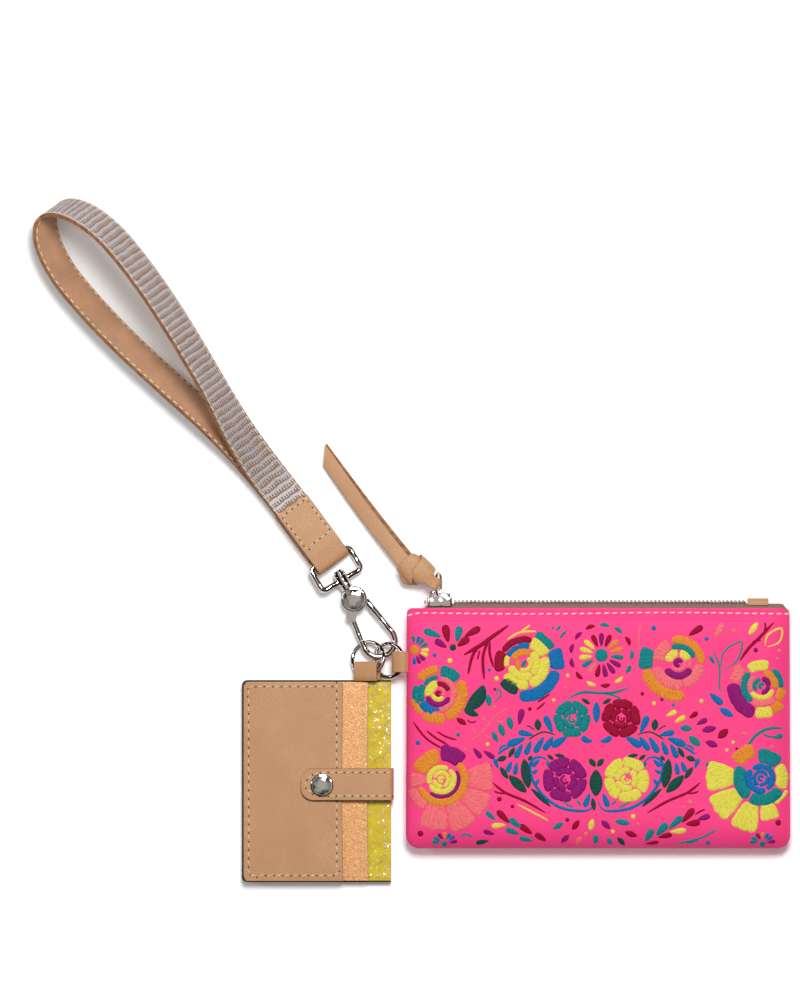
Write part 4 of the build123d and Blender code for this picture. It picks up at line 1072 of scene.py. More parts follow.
def lower_motifs():
    for width, points in ((1.5, ((24.1, -42.8), (34.3, -36.9), (44.5, -32.5), (51.2, -27.2))),
                          (1.0, ((43.6, -32.9), (47.2, -32.8), (50.2, -31.8)))):
        yield "burgundy", twig(width, *points)
        yield "burgundy", mirrored(twig(width, *points))
    yield "yellow", twig(1.0, (-40.6, -38.2), (-33.0, -42.2), (-24.7, -46.6))
    right = (("teal", 23.4, -57.1, 27.2, -50.6, 3.7), ("teal", 28.8, -54.2, 34.4, -47.7, 4.1),
             ("teal", 34.9, -50.8, 42.0, -44.2, 3.6), ("burgundy", 41.6, -47.6, 47.8, -40.4, 3.6),
             ("burgundy", 43.5, -48.3, 50.9, -47.3, 3.6), ("purple", 49.4, -46.1, 55.8, -44.0, 3.1),
             ("yellow", 35.5, -52.3, 43.9, -51.3, 2.9), ("burgundy", 29.8, -54.9, 36.9, -53.4, 2.9),
             ("burgundy", 23.4, -58.2, 30.4, -57.2, 2.0))
    for colour, x0, y0, x1, y1, width in right:
        yield colour, drop(x0, y0, x1, y1, width)
    yield "burgundy", twig(1.0, (48.0, -43.7), (50.6, -42.0), (53.4, -40.9))
    left = (("burgundy", -26.0, -56.8, -31.6, -53.0, 3.2), ("burgundy", -33.0, -53.2, -39.4, -48.6, 3.4),
            ("burgundy", -44.4, -47.8, -50.6, -41.4, 3.4), ("teal", -38.4, -50.2, -44.6, -45.4, 3.4),
            ("teal", -39.4, -53.2, -46.4, -50.8, 3.2), ("teal", -32.6, -56.6, -39.6, -55.2, 2.6),
            ("yellow", -46.2, -48.6, -53.4, -49.2, 2.8), ("teal", -51.4, -46.2, -56.2, -42.0, 2.8),
            ("green", -54.6, -56.6, -61.2, -57.8, 2.6), ("purple", -51.8, -53.4, -57.4, -51.6, 2.6))
    for colour, x0, y0, x1, y1, width in left:
        yield colour, drop(x0, y0, x1, y1, width)
    yield "teal", twig(1.1, (38.4, -58.1), (50.2, -55.5), (60.4, -50.4))
    yield "teal", twig(0.9, (44.0, -57.9), (47.4, -57.2), (50.6, -55.6))
    yield "teal", twig(1.1, (-62.0, -55.4), (-66.0, -53.2), (-68.8, -54.8))
    centre = (("purple", 1.4, -46.4, 6.0, -50.6, 2.7), ("teal", 8.1, -46.6, 15.9, -48.0, 2.9),
              ("burgundy", 13.2, -52.0, 19.4, -54.4, 2.7), ("teal", -1.1, -53.2, -1.4, -58.4, 2.7),
              ("teal", 4.6, -55.0, 6.6, -58.6, 2.3), ("green", 9.4, -54.8, 13.3, -58.9, 2.4),
              ("yellow", -2.8, -45.6, -4.2, -51.5, 2.7), ("burgundy", -9.6, -46.2, -13.0, -51.2, 2.7),
              ("salmon", -8.4, -54.4, -11.0, -58.8, 2.6), ("purple", -14.6, -53.6, -18.6, -57.6, 2.4),
              ("teal", -17.4, -47.4, -22.6, -50.8, 2.6))
    for colour, x0, y0, x1, y1, width in centre:
        yield colour, leaf(x0, y0, x1, y1, width)
    for x, y, radius, colour in ((17.4, -44.4, 1.2, "yellow"), (19.9, -48.2, 0.8, "salmon"),
                                 (7.2, -52.0, 1.0, "yellow"),
                                 (54.7, -57.6, 1.2, "blue"), (-15.5, -46.1, 1.1, "purple"),
                                 (-88.8, -53.0, 1.5, "burgundy"),
                                 (-49.4, -35.8, 1.3, "burgundy"), (-42.9, -39.4, 1.0, "burgundy"),
                                 (-6.2, -53.2, 1.0, "orange"), (-54.2, -19.5, 1.2, "burgundy"),
                                 (-90.0, -7.7, 1.2, "blue"),
                                 (-70.0, -3.6, 1.1, "teal"), (-55.3, -8.4, 1.0, "yellow"),
                                 (-66.4, -11.0, 0.9, "salmon")):
        yield colour, dot(x, y, radius)
    for side in (-76.7, 82.0):
        rays = (("teal", 170), ("teal", 146), ("purple", 118), ("orange", 90), ("blue", 64), ("blue", 40),
                ("purple", 12))
        yield "teal", dot(side, -58.2, 1.5)
        for colour, turn in rays:
            c, s = cos(radians(turn)), sin(radians(turn))
            yield colour, drop(side + 2.3 * c, -58.0 + 2.3 * s, side + 6.6 * c, -58.0 + 5.8 * s, 2.0)
    for width, points in ((1.2, ((-92.6, 3.0), (-86.0, -5.4), (-77.0, -11.0))),
                          (1.2, ((-85.9, -1.5), (-80.6, -5.6), (-74.8, -8.8))),
                          (1.1, ((-81.0, -1.8), (-76.0, -4.6), (-70.6, -6.3)))):
        yield "burgundy", twig(width, *points)
    yield "purple", drop(-62.4, -10.2, -58.4, -15.4, 2.8)
    yield "purple", drop(-57.4, -11.6, -51.8, -15.4, 2.8)


class FlossBuffer:
    """Points, faces and thread directions of everything sewn in one colour."""

    def __init__(self):
        self.points, self.faces, self.cloth, self.loops = [], [], [], []

    def take(self, rim, spine):
        """Adds one padded patch of floss on the leather."""
        area = sum(a.x * b.y - b.x * a.y for a, b in zip(rim, rim[1:] + rim[:1]))
        if area < 0:
            rim = rim[::-1]
        tidy = [p for i, p in enumerate(rim) if (p - rim[i - 1]).length > 0.08]
        inner = self.fill(tidy)
        flat, faces = flat_net(tidy, inner)
        start = len(self.points)
        for p in flat:
            depth = self.margin(p, tidy)
            rise = FLOSS_HEIGHT * sqrt(max(1 - (1 - min(depth / FLOSS_EDGE, 1)) ** 2, 0))
            self.points.append((p.x, p.y, pouch_z(p.x, p.y) + (rise if depth > 0.02 else -0.06)))
            self.cloth.append(self.thread_place(p, spine))
        self.faces += [tuple(start + i for i in f) for f in faces]

    @staticmethod
    def margin(p, rim):
        best = 99.0
        for i, b in enumerate(rim):
            a = rim[i - 1]
            run = b - a
            t = min(max((p - a).dot(run) / max(run.length_squared, 1e-9), 0), 1)
            best = min(best, (a + run * t - p).length)
        return best

    def fill(self, rim):
        """Inner points: a rim of them just inside the edge, then an even spread."""
        inner = []
        count = len(rim)
        for i, p in enumerate(rim):
            run = (rim[(i + 1) % count] - rim[i - 1]).normalized()
            moved = p + Vector((-run.y, run.x)) * 0.26
            if self.margin(moved, rim) > 0.22 and self.inside(moved, rim) and (
                    not inner or min((moved - q).length for q in inner[-6:]) > 0.3):
                inner.append(moved)
        low = Vector((min(p.x for p in rim), min(p.y for p in rim)))
        high = Vector((max(p.x for p in rim), max(p.y for p in rim)))
        for j in range(int((high.y - low.y) / (FLOSS_PITCH * 0.866)) + 1):
            y = low.y + j * FLOSS_PITCH * 0.866
            for i in range(int((high.x - low.x) / FLOSS_PITCH) + 2):
                p = Vector((low.x + (i - 0.5 * (j % 2)) * FLOSS_PITCH, y))
                if self.inside(p, rim) and self.margin(p, rim) > 0.62:
                    inner.append(p)
        return inner

    @staticmethod
    def inside(p, rim):
        odd = False
        for i, b in enumerate(rim):
            a = rim[i - 1]
            if (a.y > p.y) != (b.y > p.y) and p.x < (b.x - a.x) * (p.y - a.y) / (b.y - a.y) + a.x:
                odd = not odd
        return odd

    @staticmethod
    def thread_place(p, spine):
        """(across the spine, along the spine), so that ridges run across the shape and slant."""
        best, place, walked = 99.0, (0, 0), 0.0
        for a, b in zip(spine, spine[1:]):
            run = b - a
            length = max(run.length, 1e-6)
            t = min(max((p - a).dot(run) / length ** 2, 0), 1)
            off = p - (a + run * t)
            if off.length < best:
                best = off.length
                side = (run.x * off.y - run.y * off.x) / length
                place = (side, walked + length * t + 0.35 * side)
            walked += length
        return place


def embroider():
    """Lays every motif as raised floss, one piece for each colour."""
    buffers = {colour: FlossBuffer() for colour in FLOSS}
    for motifs in (upper_left_motifs(), large_roses(), daisy(), upper_right_motifs(), garland(),
                   lower_motifs()):
        for colour, (rim, spine) in motifs:
            buffers[colour].take(rim, spine)
    for colour, sewn in buffers.items():
        corners = [sewn.cloth[i] for f in sewn.faces for i in f]
        piece = make_piece(colour + "_embroidery", sewn.points, sewn.faces, [FLOSS[colour]], None, corners,
                           80)
        ride_as(piece, "pouch", "pink_leather")


embroider()


# ---------------------------------------------------------------- zip

def zip_tape(side):
    """Woven tape with a corded edge beside the teeth and rounded ends."""
    profile = ((50.5, 0), (54, 0), (57, 0), (59, 0), (60.2, 0), (60.9, 0.12), (61.45, 0.3), (61.6, 0.1))
    left, right, steps = -87.0, 94.0, 94
    rows = []
    for i in range(steps + 1):
        x = left + (right - left) * i / steps
        end = min((x - left) / 3.2, (right - x) / 3.2, 1)
        rounding = 2.6 * (1 - sqrt(max(1 - (1 - end) ** 2, 0)))
        row = []
        for y, lift in profile:
            row.append(Vector((x, y - rounding * (y - 50.5) / 11.1, SEAM_Z + side * (1.5 + lift))))
        rows.append(row if side < 0 else row[::-1])
    name = "front" if side > 0 else "back"
    return ride_as(thick_sheet("zip_tape_" + name + "_weave", rows, 0.6, [TAPE]), "pouch", "zip_tape",
                   "zip_tape_" + name)


def zip_teeth(side):
    """Moulded teeth clamped on the corded edge."""
    shift, y, wide = (0, 62.65, 1.9) if side > 0 else (1.0, 62.3, 1.1)
    path = [((x + shift, y, SEAM_Z + side * 1.1), (0, 0, side)) for x in (-71.55, 72.5)]
    name = "front" if side > 0 else "back"
    row = beads("zip_teeth_" + name + "_row", TOOTH_TREE, [path], 2.0, (0.95, wide, 2.8), TOOTH_METAL)
    return ride_as(row, "pouch", "nickel", "zip_teeth_" + name)


for tape_side in (1, -1):
    zip_tape(tape_side)
    zip_teeth(tape_side)


def end_tab_piece():
    """Leather tab folded over the zip's right end."""
    section = through([(61.0, 2.5, 0), (62.6, 2.45, 0), (63.7, 1.5, 0), (63.95, 0, 0), (63.7, -1.5, 0),
                       (62.6, -2.45, 0), (61.0, -2.5, 0)], steps=4)
    rows = [[Vector((74.6 + 10.4 * j / 6, p.x, SEAM_Z + p.y)) for j in range(7)] for p in section]
    return thick_sheet("zip_end_leather", rows[::-1], 1.0, [TAN_HIDE, TAN_EDGE, TAN_HIDE])


ride_as(end_tab_piece(), "pouch", "tan_leather", "zip_end_tab")


# ---------------------------------------------------------------- leather loops on the rings

def pouch_ring_loop():
    """Loop sewn into the pouch's left seam."""
    path = through([(-93.6, 9.9, 0), (-95.0, 10.8, 0), (-97.0, 12.2, 0), (-98.6, 12.2, 0),
                    (-100.2, 11.25, 0),
                    (-101.6, 10.3, 0), (-102.55, 8.9, 0), (-102.2, 7.2, 0), (-100.9, 6.25, 0),
                    (-99.2, 6.5, 0), (-97.0, 7.9, 0), (-95.0, 8.8, 0), (-93.6, 9.0, 0)], steps=4)
    rows = [[Vector((p.x, 27.4 + 10.4 * j / 6, p.y)) for j in range(7)] for p in path]
    return thick_sheet("pouch_ring_leather", rows, 1.1, [TAN_HIDE, TAN_EDGE, TAN_HIDE])


def card_ring_loop():
    """Loop above the card case, leaning with its ring."""
    path = through([(23.4, 1.5, 0), (25.2, 2.2, 0), (27.6, 2.35, 0), (30.0, 2.3, 0), (31.65, 1.6, 0),
                    (32.3, 0, 0),
                    (31.65, -1.6, 0), (30.0, -2.3, 0), (27.6, -2.35, 0), (25.2, -2.2, 0), (23.4, -1.5, 0)],
                    steps=4)
    lean = radians(22.5)
    rows = []
    for p in path:
        row = []
        for j in range(7):
            x = -6.25 + 12.5 * j / 6
            row.append(Vector((-115.4 + x * cos(lean) - p.y * sin(lean), p.x,
                               6.5 + p.y * cos(lean) + x * sin(lean))))
        rows.append(row)
    return thick_sheet("card_ring_leather", rows, 1.0, [TAN_HIDE, TAN_EDGE, TAN_HIDE])


ride_as(pouch_ring_loop(), "pouch", "tan_leather", "pouch_ring_tab")
card_loop = card_ring_loop()
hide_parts("card_ring_tab")
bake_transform(card_loop)


# ---------------------------------------------------------------- thong

def on_thong(x, y, z):
    """Point given along, left of and above the tails' centre line."""
    angle = radians(TAIL_ANGLE)
    return Vector((KNOT[0] + x * cos(angle) - y * sin(angle), KNOT[1] + x * sin(angle) + y * cos(angle), z))


def thong_tail(side):
    """One of the two strip ends, both cut on the same slant; the lower one looks out on the right."""
    low = TABLE_GAP + (THONG_T if side > 0 else 0)
    rows = []
    for i in range(41):
        part = i / 40
        middle = TAIL_STEP / 2 * side * (1 - 0.55 * part)
        row = []
        for j in range(5):
            across = j / 4
            x = 1 + (TAIL_LENGTH - 4 + 8 * across * part ** 3) * part
            bow = 0.9 * sin(pi * part) * (1 if side > 0 else 0.7)
            curl = 0.25 * sin(3 * pi * part) * part
            z = low + THONG_T / 2 + 4.2 * (1 - (x - 2) / (TAIL_LENGTH + 7)) + curl
            z = max(z, low + THONG_T / 2)
            cup = 0.18 * (2 * across - 1) ** 2
            row.append(on_thong(x, middle + THONG_W * (0.5 - across) + bow, z - cup))
        rows.append(row)
    name = "upper" if side > 0 else "lower"
    top = TAN_HIDE if side > 0 else TAN_EDGE
    return thick_sheet("thong_" + name + "_tail", rows, THONG_T - 0.06, [top, TAN_EDGE, TAN_HIDE])


KNOT_CENTRE, KNOT_TURN = (-90.3, 78.0), 135.0


def on_knot(u, v, w):
    """Point given along the thong, across it and up, from the knot's own centre."""
    angle = radians(KNOT_TURN)
    return Vector((KNOT_CENTRE[0] + u * cos(angle) + v * sin(angle),
                   KNOT_CENTRE[1] + u * sin(angle) - v * cos(angle), w))


def knot_band(name, centre, half_v, half_w, height, edges):
    """A wide turn of the strip round the thong. edges gives, at turns of the wrap, how far its
    two edges lie along the thong."""
    rows = []
    steps = 44
    for i in range(steps):
        turn = 360 * i / steps
        for (a0, low0, high0), (a1, low1, high1) in zip(edges, edges[1:]):
            if a0 <= turn <= a1:
                part = smooth(turn, a0, a1)
                low, high = low0 + (low1 - low0) * part, high0 + (high1 - high0) * part
        row = []
        for j in range(7):
            across = j / 6
            bulge = 1 - 0.07 * (2 * across - 1) ** 2
            c, s = cos(radians(turn)), sin(radians(turn))
            v = centre + half_v * bulge * abs(c) ** 0.62 * (1 if c > 0 else -1)
            w = height + half_w * bulge * abs(s) ** 0.8 * (1 if s > 0 else -1)
            row.append(on_knot(low + (high - low) * across, v, w))
        rows.append(row)
    return thick_sheet(name, rows, 1.15, [TAN_HIDE, TAN_EDGE, TAN_HIDE], closed=True)


def knot_roll():
    """The strip's rolled edge, where it turns under the knot."""
    path = through([(5.5, -5.2, 6.6), (3.0, -6.9, 6.0), (0.4, -7.2, 5.5), (-2.0, -5.9, 5.2),
                    (-4.4, -3.8, 5.6)], steps=5)
    rows = []
    for i, point in enumerate(path):
        part = i / (len(path) - 1)
        radius = 1.5 + 0.5 * sin(pi * part)
        row = []
        for j in range(15):
            angle = radians(-40 + 30 * j)
            size = radius * (1 - 0.045 * j)
            row.append(on_knot(point.x, point.y - size * cos(angle) * 0.9, point.z + size * sin(angle)))
        rows.append(row)
    return thick_sheet("thong_knot_roll", rows[::-1], 0.8, [TAN_HIDE, TAN_EDGE, TAN_HIDE])


def thong_loop():
    """The fold that holds the pull ring."""
    heading, reach = radians(-34.4), 11.52
    ahead, across = Vector((cos(heading), sin(heading), 0)), Vector((-sin(heading), cos(heading), 0))
    start = Vector((*KNOT_CENTRE, 0))
    path = [(2.0, 9.4), (5.5, 10.6), (9.0, 12.6)]
    path += [(reach + 1.3 * cos(radians(a)), 12.0 + 1.3 * sin(radians(a))) for a in range(95, -96, -19)]
    path += [(9.0, 9.6), (5.5, 7.6), (2.0, 6.4)]
    rows = []
    for p in through([(x, z, 0) for x, z in path], steps=3):
        rows.append([start + ahead * p.x + across * (-2.9 + 5.8 * j / 6) + Vector((0, 0, p.y))
                     for j in range(7)])
    return thick_sheet("thong_ring_fold", [row[::-1] for row in rows], 1.1, [TAN_HIDE, TAN_EDGE, TAN_HIDE])


ride_as(thong_tail(1), "thong", "tan_leather", "leather_thong")
ride_as(thong_tail(-1), "thong", "tan_leather")
ride_as(thong_loop(), "thong", "tan_leather")
ride_as(knot_band("thong_knot_front", 1.2, 5.8, 4.0, 7.4,
                  [(0, -6.0, 4.4), (90, -6.6, 2.4), (180, -4.4, -0.9), (270, -4.0, 2.0), (360, -6.0, 4.8)]),
        "thong", "tan_leather")
ride_as(knot_band("thong_knot_back", -0.7, 6.2, 3.6, 7.0,
                  [(0, 2.6, 5.6), (60, 0.4, 8.6), (90, 0.2, 8.9), (150, -2.4, 8.2), (180, -2.2, 7.0),
                   (270, 0.6, 6.0), (360, 2.6, 5.6)]),
        "thong", "tan_leather")
ride_as(knot_roll(), "thong", "tan_leather")


# ---------------------------------------------------------------- strap

def bar_centre():
    """Middle of the bail's bar, where the strap hangs."""
    heading = radians(HOOK_HEADING)
    return (HOOK_CENTRE[0] + BAIL_HIGH * cos(heading), HOOK_CENTRE[1] + BAIL_HIGH * sin(heading))


def half_gap(along):
    """Half the distance between the two sides of the loop."""
    closed = INNER_T + 0.02
    if along <= WIDE_ALONG:
        return closed + (LOOP_HALF - closed) * smooth(along, SPREAD_ALONG, WIDE_ALONG)
    part = (along - WIDE_ALONG) / (END_ALONG - WIDE_ALONG)
    return LOOP_HALF * sqrt(max(1 - part ** 2, 0))


def strap_frame(along, spread):
    """Point on the middle sheet, spread off the loop's axis, and its width direction."""
    heading, lean = radians(STRAP_HEADING), radians(ROLL + (LOOP_ROLL - ROLL) * smooth(along, 38, 112))
    ahead = Vector((cos(heading), sin(heading), 0))
    right = Vector((sin(heading), -cos(heading), 0))
    low_side = (abs(half_gap(along)) + OUTER_T + 0.1) * cos(lean) + STRAP_HALF_W * sin(lean) + TABLE_GAP
    drift = -LOOP_BOW * max((along - SPREAD_ALONG) / (END_ALONG - SPREAD_ALONG), 0) ** 1.15
    centre = Vector((*bar_centre(), max(HOOK_Z, low_side))) + ahead * along + right * drift
    normal = right * sin(lean) + Vector((0, 0, cos(lean)))
    return centre + normal * spread, right * cos(lean) - Vector((0, 0, sin(lean)))


def loop_stations():
    """Points along the strap's loop, from one end to the other."""
    upper = []
    for i in range(91):
        along = ROOT_ALONG + (WIDE_ALONG - ROOT_ALONG) * i / 90
        upper.append((along, half_gap(along)))
    for i in range(1, 26):
        angle = pi / 2 * i / 26
        upper.append((WIDE_ALONG + (END_ALONG - WIDE_ALONG) * sin(angle), LOOP_HALF * cos(angle)))
    return upper + [(END_ALONG, 0)] + [(along, -spread) for along, spread in reversed(upper)]


def strap_sections():
    """(centre, width direction, outward direction, distance along the axis) round the loop."""
    stations = loop_stations()
    frames = [strap_frame(along, spread) for along, spread in stations]
    sections = []
    for i, (point, width) in enumerate(frames):
        before, after = frames[max(i - 1, 0)][0], frames[min(i + 1, len(frames) - 1)][0]
        outward = width.cross(after - before).normalized()
        sections.append((point, width, outward, stations[i][0]))
    return sections


STRAP_SECTIONS = strap_sections()


def strap_ply(name, inside, outside, half, materials, face_out):
    """One layer of the strap between two offsets."""
    rows = []
    for point, width, outward, _ in STRAP_SECTIONS:
        middle = point + outward * (inside + outside) / 2
        across = width * (1 if face_out else -1)
        rows.append([middle + across * half * (-1 + j / 4) for j in range(9)])
    return thick_sheet(name, rows, outside - inside - 0.03, materials)


ride_as(strap_ply("strap_foil_ply", 0, OUTER_T, STRAP_HALF_W, [FOIL_HIDE, TAN_EDGE, TAN_HIDE], True),
        "strap", "foil_leather", "strap_outer_ply")
ride_as(strap_ply("strap_tan_lining", -INNER_T, 0, STRAP_HALF_W, [STRAP_LINING, TAN_EDGE, TAN_HIDE], False),
        "strap", "tan_leather", "strap_lining_ply")


def strap_rows(offset, outer):
    """Path of a stitch row at an offset across the strap, on its outer or its lining face."""
    path = []
    for point, width, outward, along in STRAP_SECTIONS:
        if along < WRAP_END - 0.5:
            continue
        up = outward if outer else -outward
        depth = OUTER_T if outer else INNER_T
        path.append((point + width * offset + up * (depth - 0.12), up))
    return path


for row_offset, row_label in ((-8.1, "left"), (8.1, "right")):
    stitches("strap_outer_" + row_label + "_stitches", [strap_rows(row_offset, True)], 4.0, 3.0, "strap",
             CREAM_THREAD, 5, False, 0.6)
    stitches("strap_lining_" + row_label + "_stitches", [strap_rows(row_offset, False)], 4.0, 2.9, "strap",
             CREAM_THREAD, 5, True, 0.6)


def on_wrap(along, left, up):
    """Point in the end wrap's frame, which leans with the bail."""
    heading, roll = radians(STRAP_HEADING), radians(ROLL)
    ahead = Vector((cos(heading), sin(heading), 0))
    side = Vector((-sin(heading), cos(heading), 0))
    left_out = side * cos(roll) + Vector((0, 0, sin(roll)))
    normal = Vector((0, 0, cos(roll))) - side * sin(roll)
    return Vector((*bar_centre(), HOOK_Z)) + ahead * along + left_out * left + normal * up


def end_wrap():
    """Leather folded round the bail's bar and over both ends of the strap."""
    stack = INNER_T + OUTER_T + 0.06 + WRAP_T / 2
    upper = [(WRAP_END, stack, 0), (26, stack + 0.05, 0), (18, stack + 0.08, 0), (11, stack + 0.05, 0),
             (6, stack, 0), (2.4, 2.6, 0), (-0.6, 2.38, 0), (-2.6, 1.95, 0), (-3.55, 0.9, 0), (-3.72, 0, 0)]
    lower = [(x, -z, 0) for x, z, _ in upper[-2::-1]]
    path = through(upper + lower, steps=4)
    rows = [[on_wrap(p.x, WRAP_HALF_W * (-1 + j / 4), p.y) for j in range(9)] for p in path]
    return thick_sheet("strap_end_leather", rows, WRAP_T, [TAN_HIDE, TAN_EDGE, TAN_HIDE])


ride_as(end_wrap(), "strap", "tan_leather", "strap_end_wrap")


def wrap_stitches(face):
    """Box of stitches that holds the wrap, on its upper or lower face."""
    height = INNER_T + OUTER_T + 0.06 + WRAP_T + 0.02
    corners = [(30.6, -7.6), (30.6, 7.6), (10.5, 7.6), (10.5, -7.6), (30.6, -7.6)]
    path = []
    for (a0, b0), (a1, b1) in zip(corners, corners[1:]):
        parts = 8
        for k in range(parts):
            along, left = a0 + (a1 - a0) * k / parts, b0 + (b1 - b0) * k / parts
            path.append((on_wrap(along, left, face * height), on_wrap(0, 0, face) - on_wrap(0, 0, 0)))
    path.append((on_wrap(*corners[-1], face * height), on_wrap(0, 0, face) - on_wrap(0, 0, 0)))
    return path


stitches("wrap_stitches", [wrap_stitches(1), wrap_stitches(-1)], 3.4, 2.4, "strap",
         PALE_THREAD, 6, True, 0.7)


# ---------------------------------------------------------------- card case

CASE_LEFT, CASE_RIGHT, CASE_LOW, CASE_HIGH = -178.0, -103.5, -77.5, 23.5


def case_sheet(name, left, right, low, high, z, thickness, materials, puff=0.0, wavy=0.0, corner=1.2):
    """One leather layer of the card case, a little crowned, with rounded left corners."""
    rows, steps = [], 52
    for i in range(steps + 1):
        y = low + (high - low) * i / steps
        end = min(y - low, high - y)
        notch = corner - sqrt(max(corner ** 2 - (corner - min(end, corner)) ** 2, 0))
        drift = wavy * sin(pi * (y - low) / (high - low))
        bow = sin(pi * i / steps) ** 0.5 if 0 < i < steps else 0
        row = []
        for j in range(13):
            x = left + notch + (right + drift - left - notch) * j / 12
            crown = puff * bow * sin(pi * j / 12) ** 0.5 if 0 < j < 12 else 0
            row.append(Vector((x, y, z + crown)))
        rows.append(row)
    return thick_sheet(name, rows, thickness, materials)


def level(node):
    """Height of the top of a case layer, from the frame."""
    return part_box(node)[1].z / MM


tan_top = level("case_front_pocket")
copper_top = level("case_middle_pocket")
glitter_top = level("case_rear_pocket")
ride_as(case_sheet("case_tan_pocket", CASE_LEFT + 0.8, -127.5, CASE_LOW + 0.7, CASE_HIGH - 1.1,
                   tan_top - 0.55, 1.1,
                   [TAN_HIDE, TAN_EDGE, TAN_HIDE], 0.35, -0.5), "card_case", "tan_leather",
                   "case_front_pocket")
ride_as(case_sheet("case_copper_pocket", CASE_LEFT + 1.2, -114.9, CASE_LOW + 0.8, CASE_HIGH - 1.0,
                   copper_top - 0.4, 0.8,
                   [COPPER_HIDE, TAN_EDGE, TAN_HIDE], 0.2, -0.4), "card_case", "copper_leather",
                   "case_middle_pocket")
ride_as(case_sheet("case_glitter_pocket", CASE_LEFT + 1.2, CASE_RIGHT, CASE_LOW + 0.8, CASE_HIGH - 0.9,
                   glitter_top - 0.3,
                   0.6, [GLITTER, NAVY_BOARD, NAVY_BOARD], 0.1), "card_case", "glitter_fabric",
                   "case_rear_pocket")


def fleck_tree():
    """Scatters thin flakes over a surface, each turned its own way."""
    tree = bpy.data.node_groups.new("scattered_flecks", "GeometryNodeTree")
    tree.interface.new_socket("Surface", in_out="INPUT", socket_type="NodeSocketGeometry")
    for label in ("Density", "Length"):
        tree.interface.new_socket(label, in_out="INPUT", socket_type="NodeSocketFloat")
    tree.interface.new_socket("Finish", in_out="INPUT", socket_type="NodeSocketMaterial")
    tree.interface.new_socket("Flecks", in_out="OUTPUT", socket_type="NodeSocketGeometry")
    given = add(tree, "NodeGroupInput").outputs
    spread = add(tree, "GeometryNodeDistributePointsOnFaces",
                 {"Mesh": given["Surface"], "Density": given["Density"], "Seed": 7})
    turn = add(tree, "FunctionNodeRandomValue", {"Min": (-0.25, -0.25, 0), "Max": (0.25, 0.25, 6.28),
                                                 "Seed": 3},
               data_type="FLOAT_VECTOR")
    long = add(tree, "FunctionNodeRandomValue", {"Min": (0.45, 0.16, 0.05), "Max": (1, 0.34, 0.08),
                                                 "Seed": 5},
               data_type="FLOAT_VECTOR")
    size = add(tree, "ShaderNodeVectorMath", {0: long.outputs[0], "Scale": given["Length"]},
               operation="SCALE")
    flake = add(tree, "GeometryNodeMeshCube", {"Size": (1, 1, 1)})
    laid = add(tree, "GeometryNodeInstanceOnPoints", {"Points": spread.outputs["Points"],
                                                      "Instance": flake.outputs["Mesh"],
                                                      "Rotation": turn.outputs[0],
                                                      "Scale": size.outputs[0]})
    solid = add(tree, "GeometryNodeRealizeInstances", {"Geometry": laid.outputs["Instances"]})
    painted = add(tree, "GeometryNodeSetMaterial", {"Geometry": solid.outputs[0],
                                                    "Material": given["Finish"]})
    add(tree, "NodeGroupOutput", {"Flecks": painted.outputs[0]})
    return tree


FLECK_DENSITY, FLECK_LENGTH, FLECK_MARGIN = 210000.0, 1.3, 1.6
FLECK_LEFT, FLECK_RIGHT = -114.4, -104.2
fleck_low, fleck_high = CASE_LOW + FLECK_MARGIN, CASE_HIGH - FLECK_MARGIN
fleck_field = ((FLECK_LEFT, fleck_low), (FLECK_RIGHT, fleck_low),
               (FLECK_RIGHT, fleck_high), (FLECK_LEFT, fleck_high))
sheet = bpy.data.meshes.new("fleck_field")
sheet.from_pydata([Vector((x, y, glitter_top + 0.1)) * MM for x, y in fleck_field], [], [(0, 1, 2, 3)])
ride_as(settle("glitter_flecks", bpy.data.objects.new("fleck_field", sheet), fleck_tree(),
               {"Density": FLECK_DENSITY, "Length": FLECK_LENGTH * MM, "Finish": FLECK_FILM}), "card_case",
               "glitter_fabric")


def straight(points, z, steps=12):
    """Level stitch path through corner points."""
    path = []
    for (x0, y0), (x1, y1) in zip(points, points[1:]):
        path += [((x0 + (x1 - x0) * k / steps, y0 + (y1 - y0) * k / steps, z), (0, 0, 1))
                 for k in range(steps)]
    return path + [((*points[-1], z), (0, 0, 1))]


tan_rim = [(-130.6, 20.2), (-174.6, 20.2), (-174.6, -74.2), (-130.6, -74.2), (-130.6, 20.2)]
stitches("tan_pocket_stitches", [straight(tan_rim, tan_top + 0.1)], 4.2, 2.9, "card_case",
         thread=PALE_THREAD, slant=18)
stitches("copper_pocket_stitches", [straight([(-127.0, 20.4), (-115.4, 20.4)], copper_top + 0.1),
                                    straight([(-127.0, -74.4), (-115.4, -74.4)], copper_top + 0.1),
                                    straight([(-117.2, 20.0), (-117.2, -74.0)], copper_top + 0.12)],
         4.0, 2.9, "card_case", PALE_THREAD, 10, False, 0.7)
stitches("glitter_pocket_stitches", [straight([(-114.5, 20.4), (-106.0, 20.4)], glitter_top + 0.1),
                                     straight([(-114.5, -74.4), (-106.0, -74.4)], glitter_top + 0.1),
                                     straight([(-106.4, 20.0), (-106.4, -74.0)], glitter_top + 0.12)],
         3.6, 2.7, "card_case", PALE_THREAD, 10, False, 0.7)


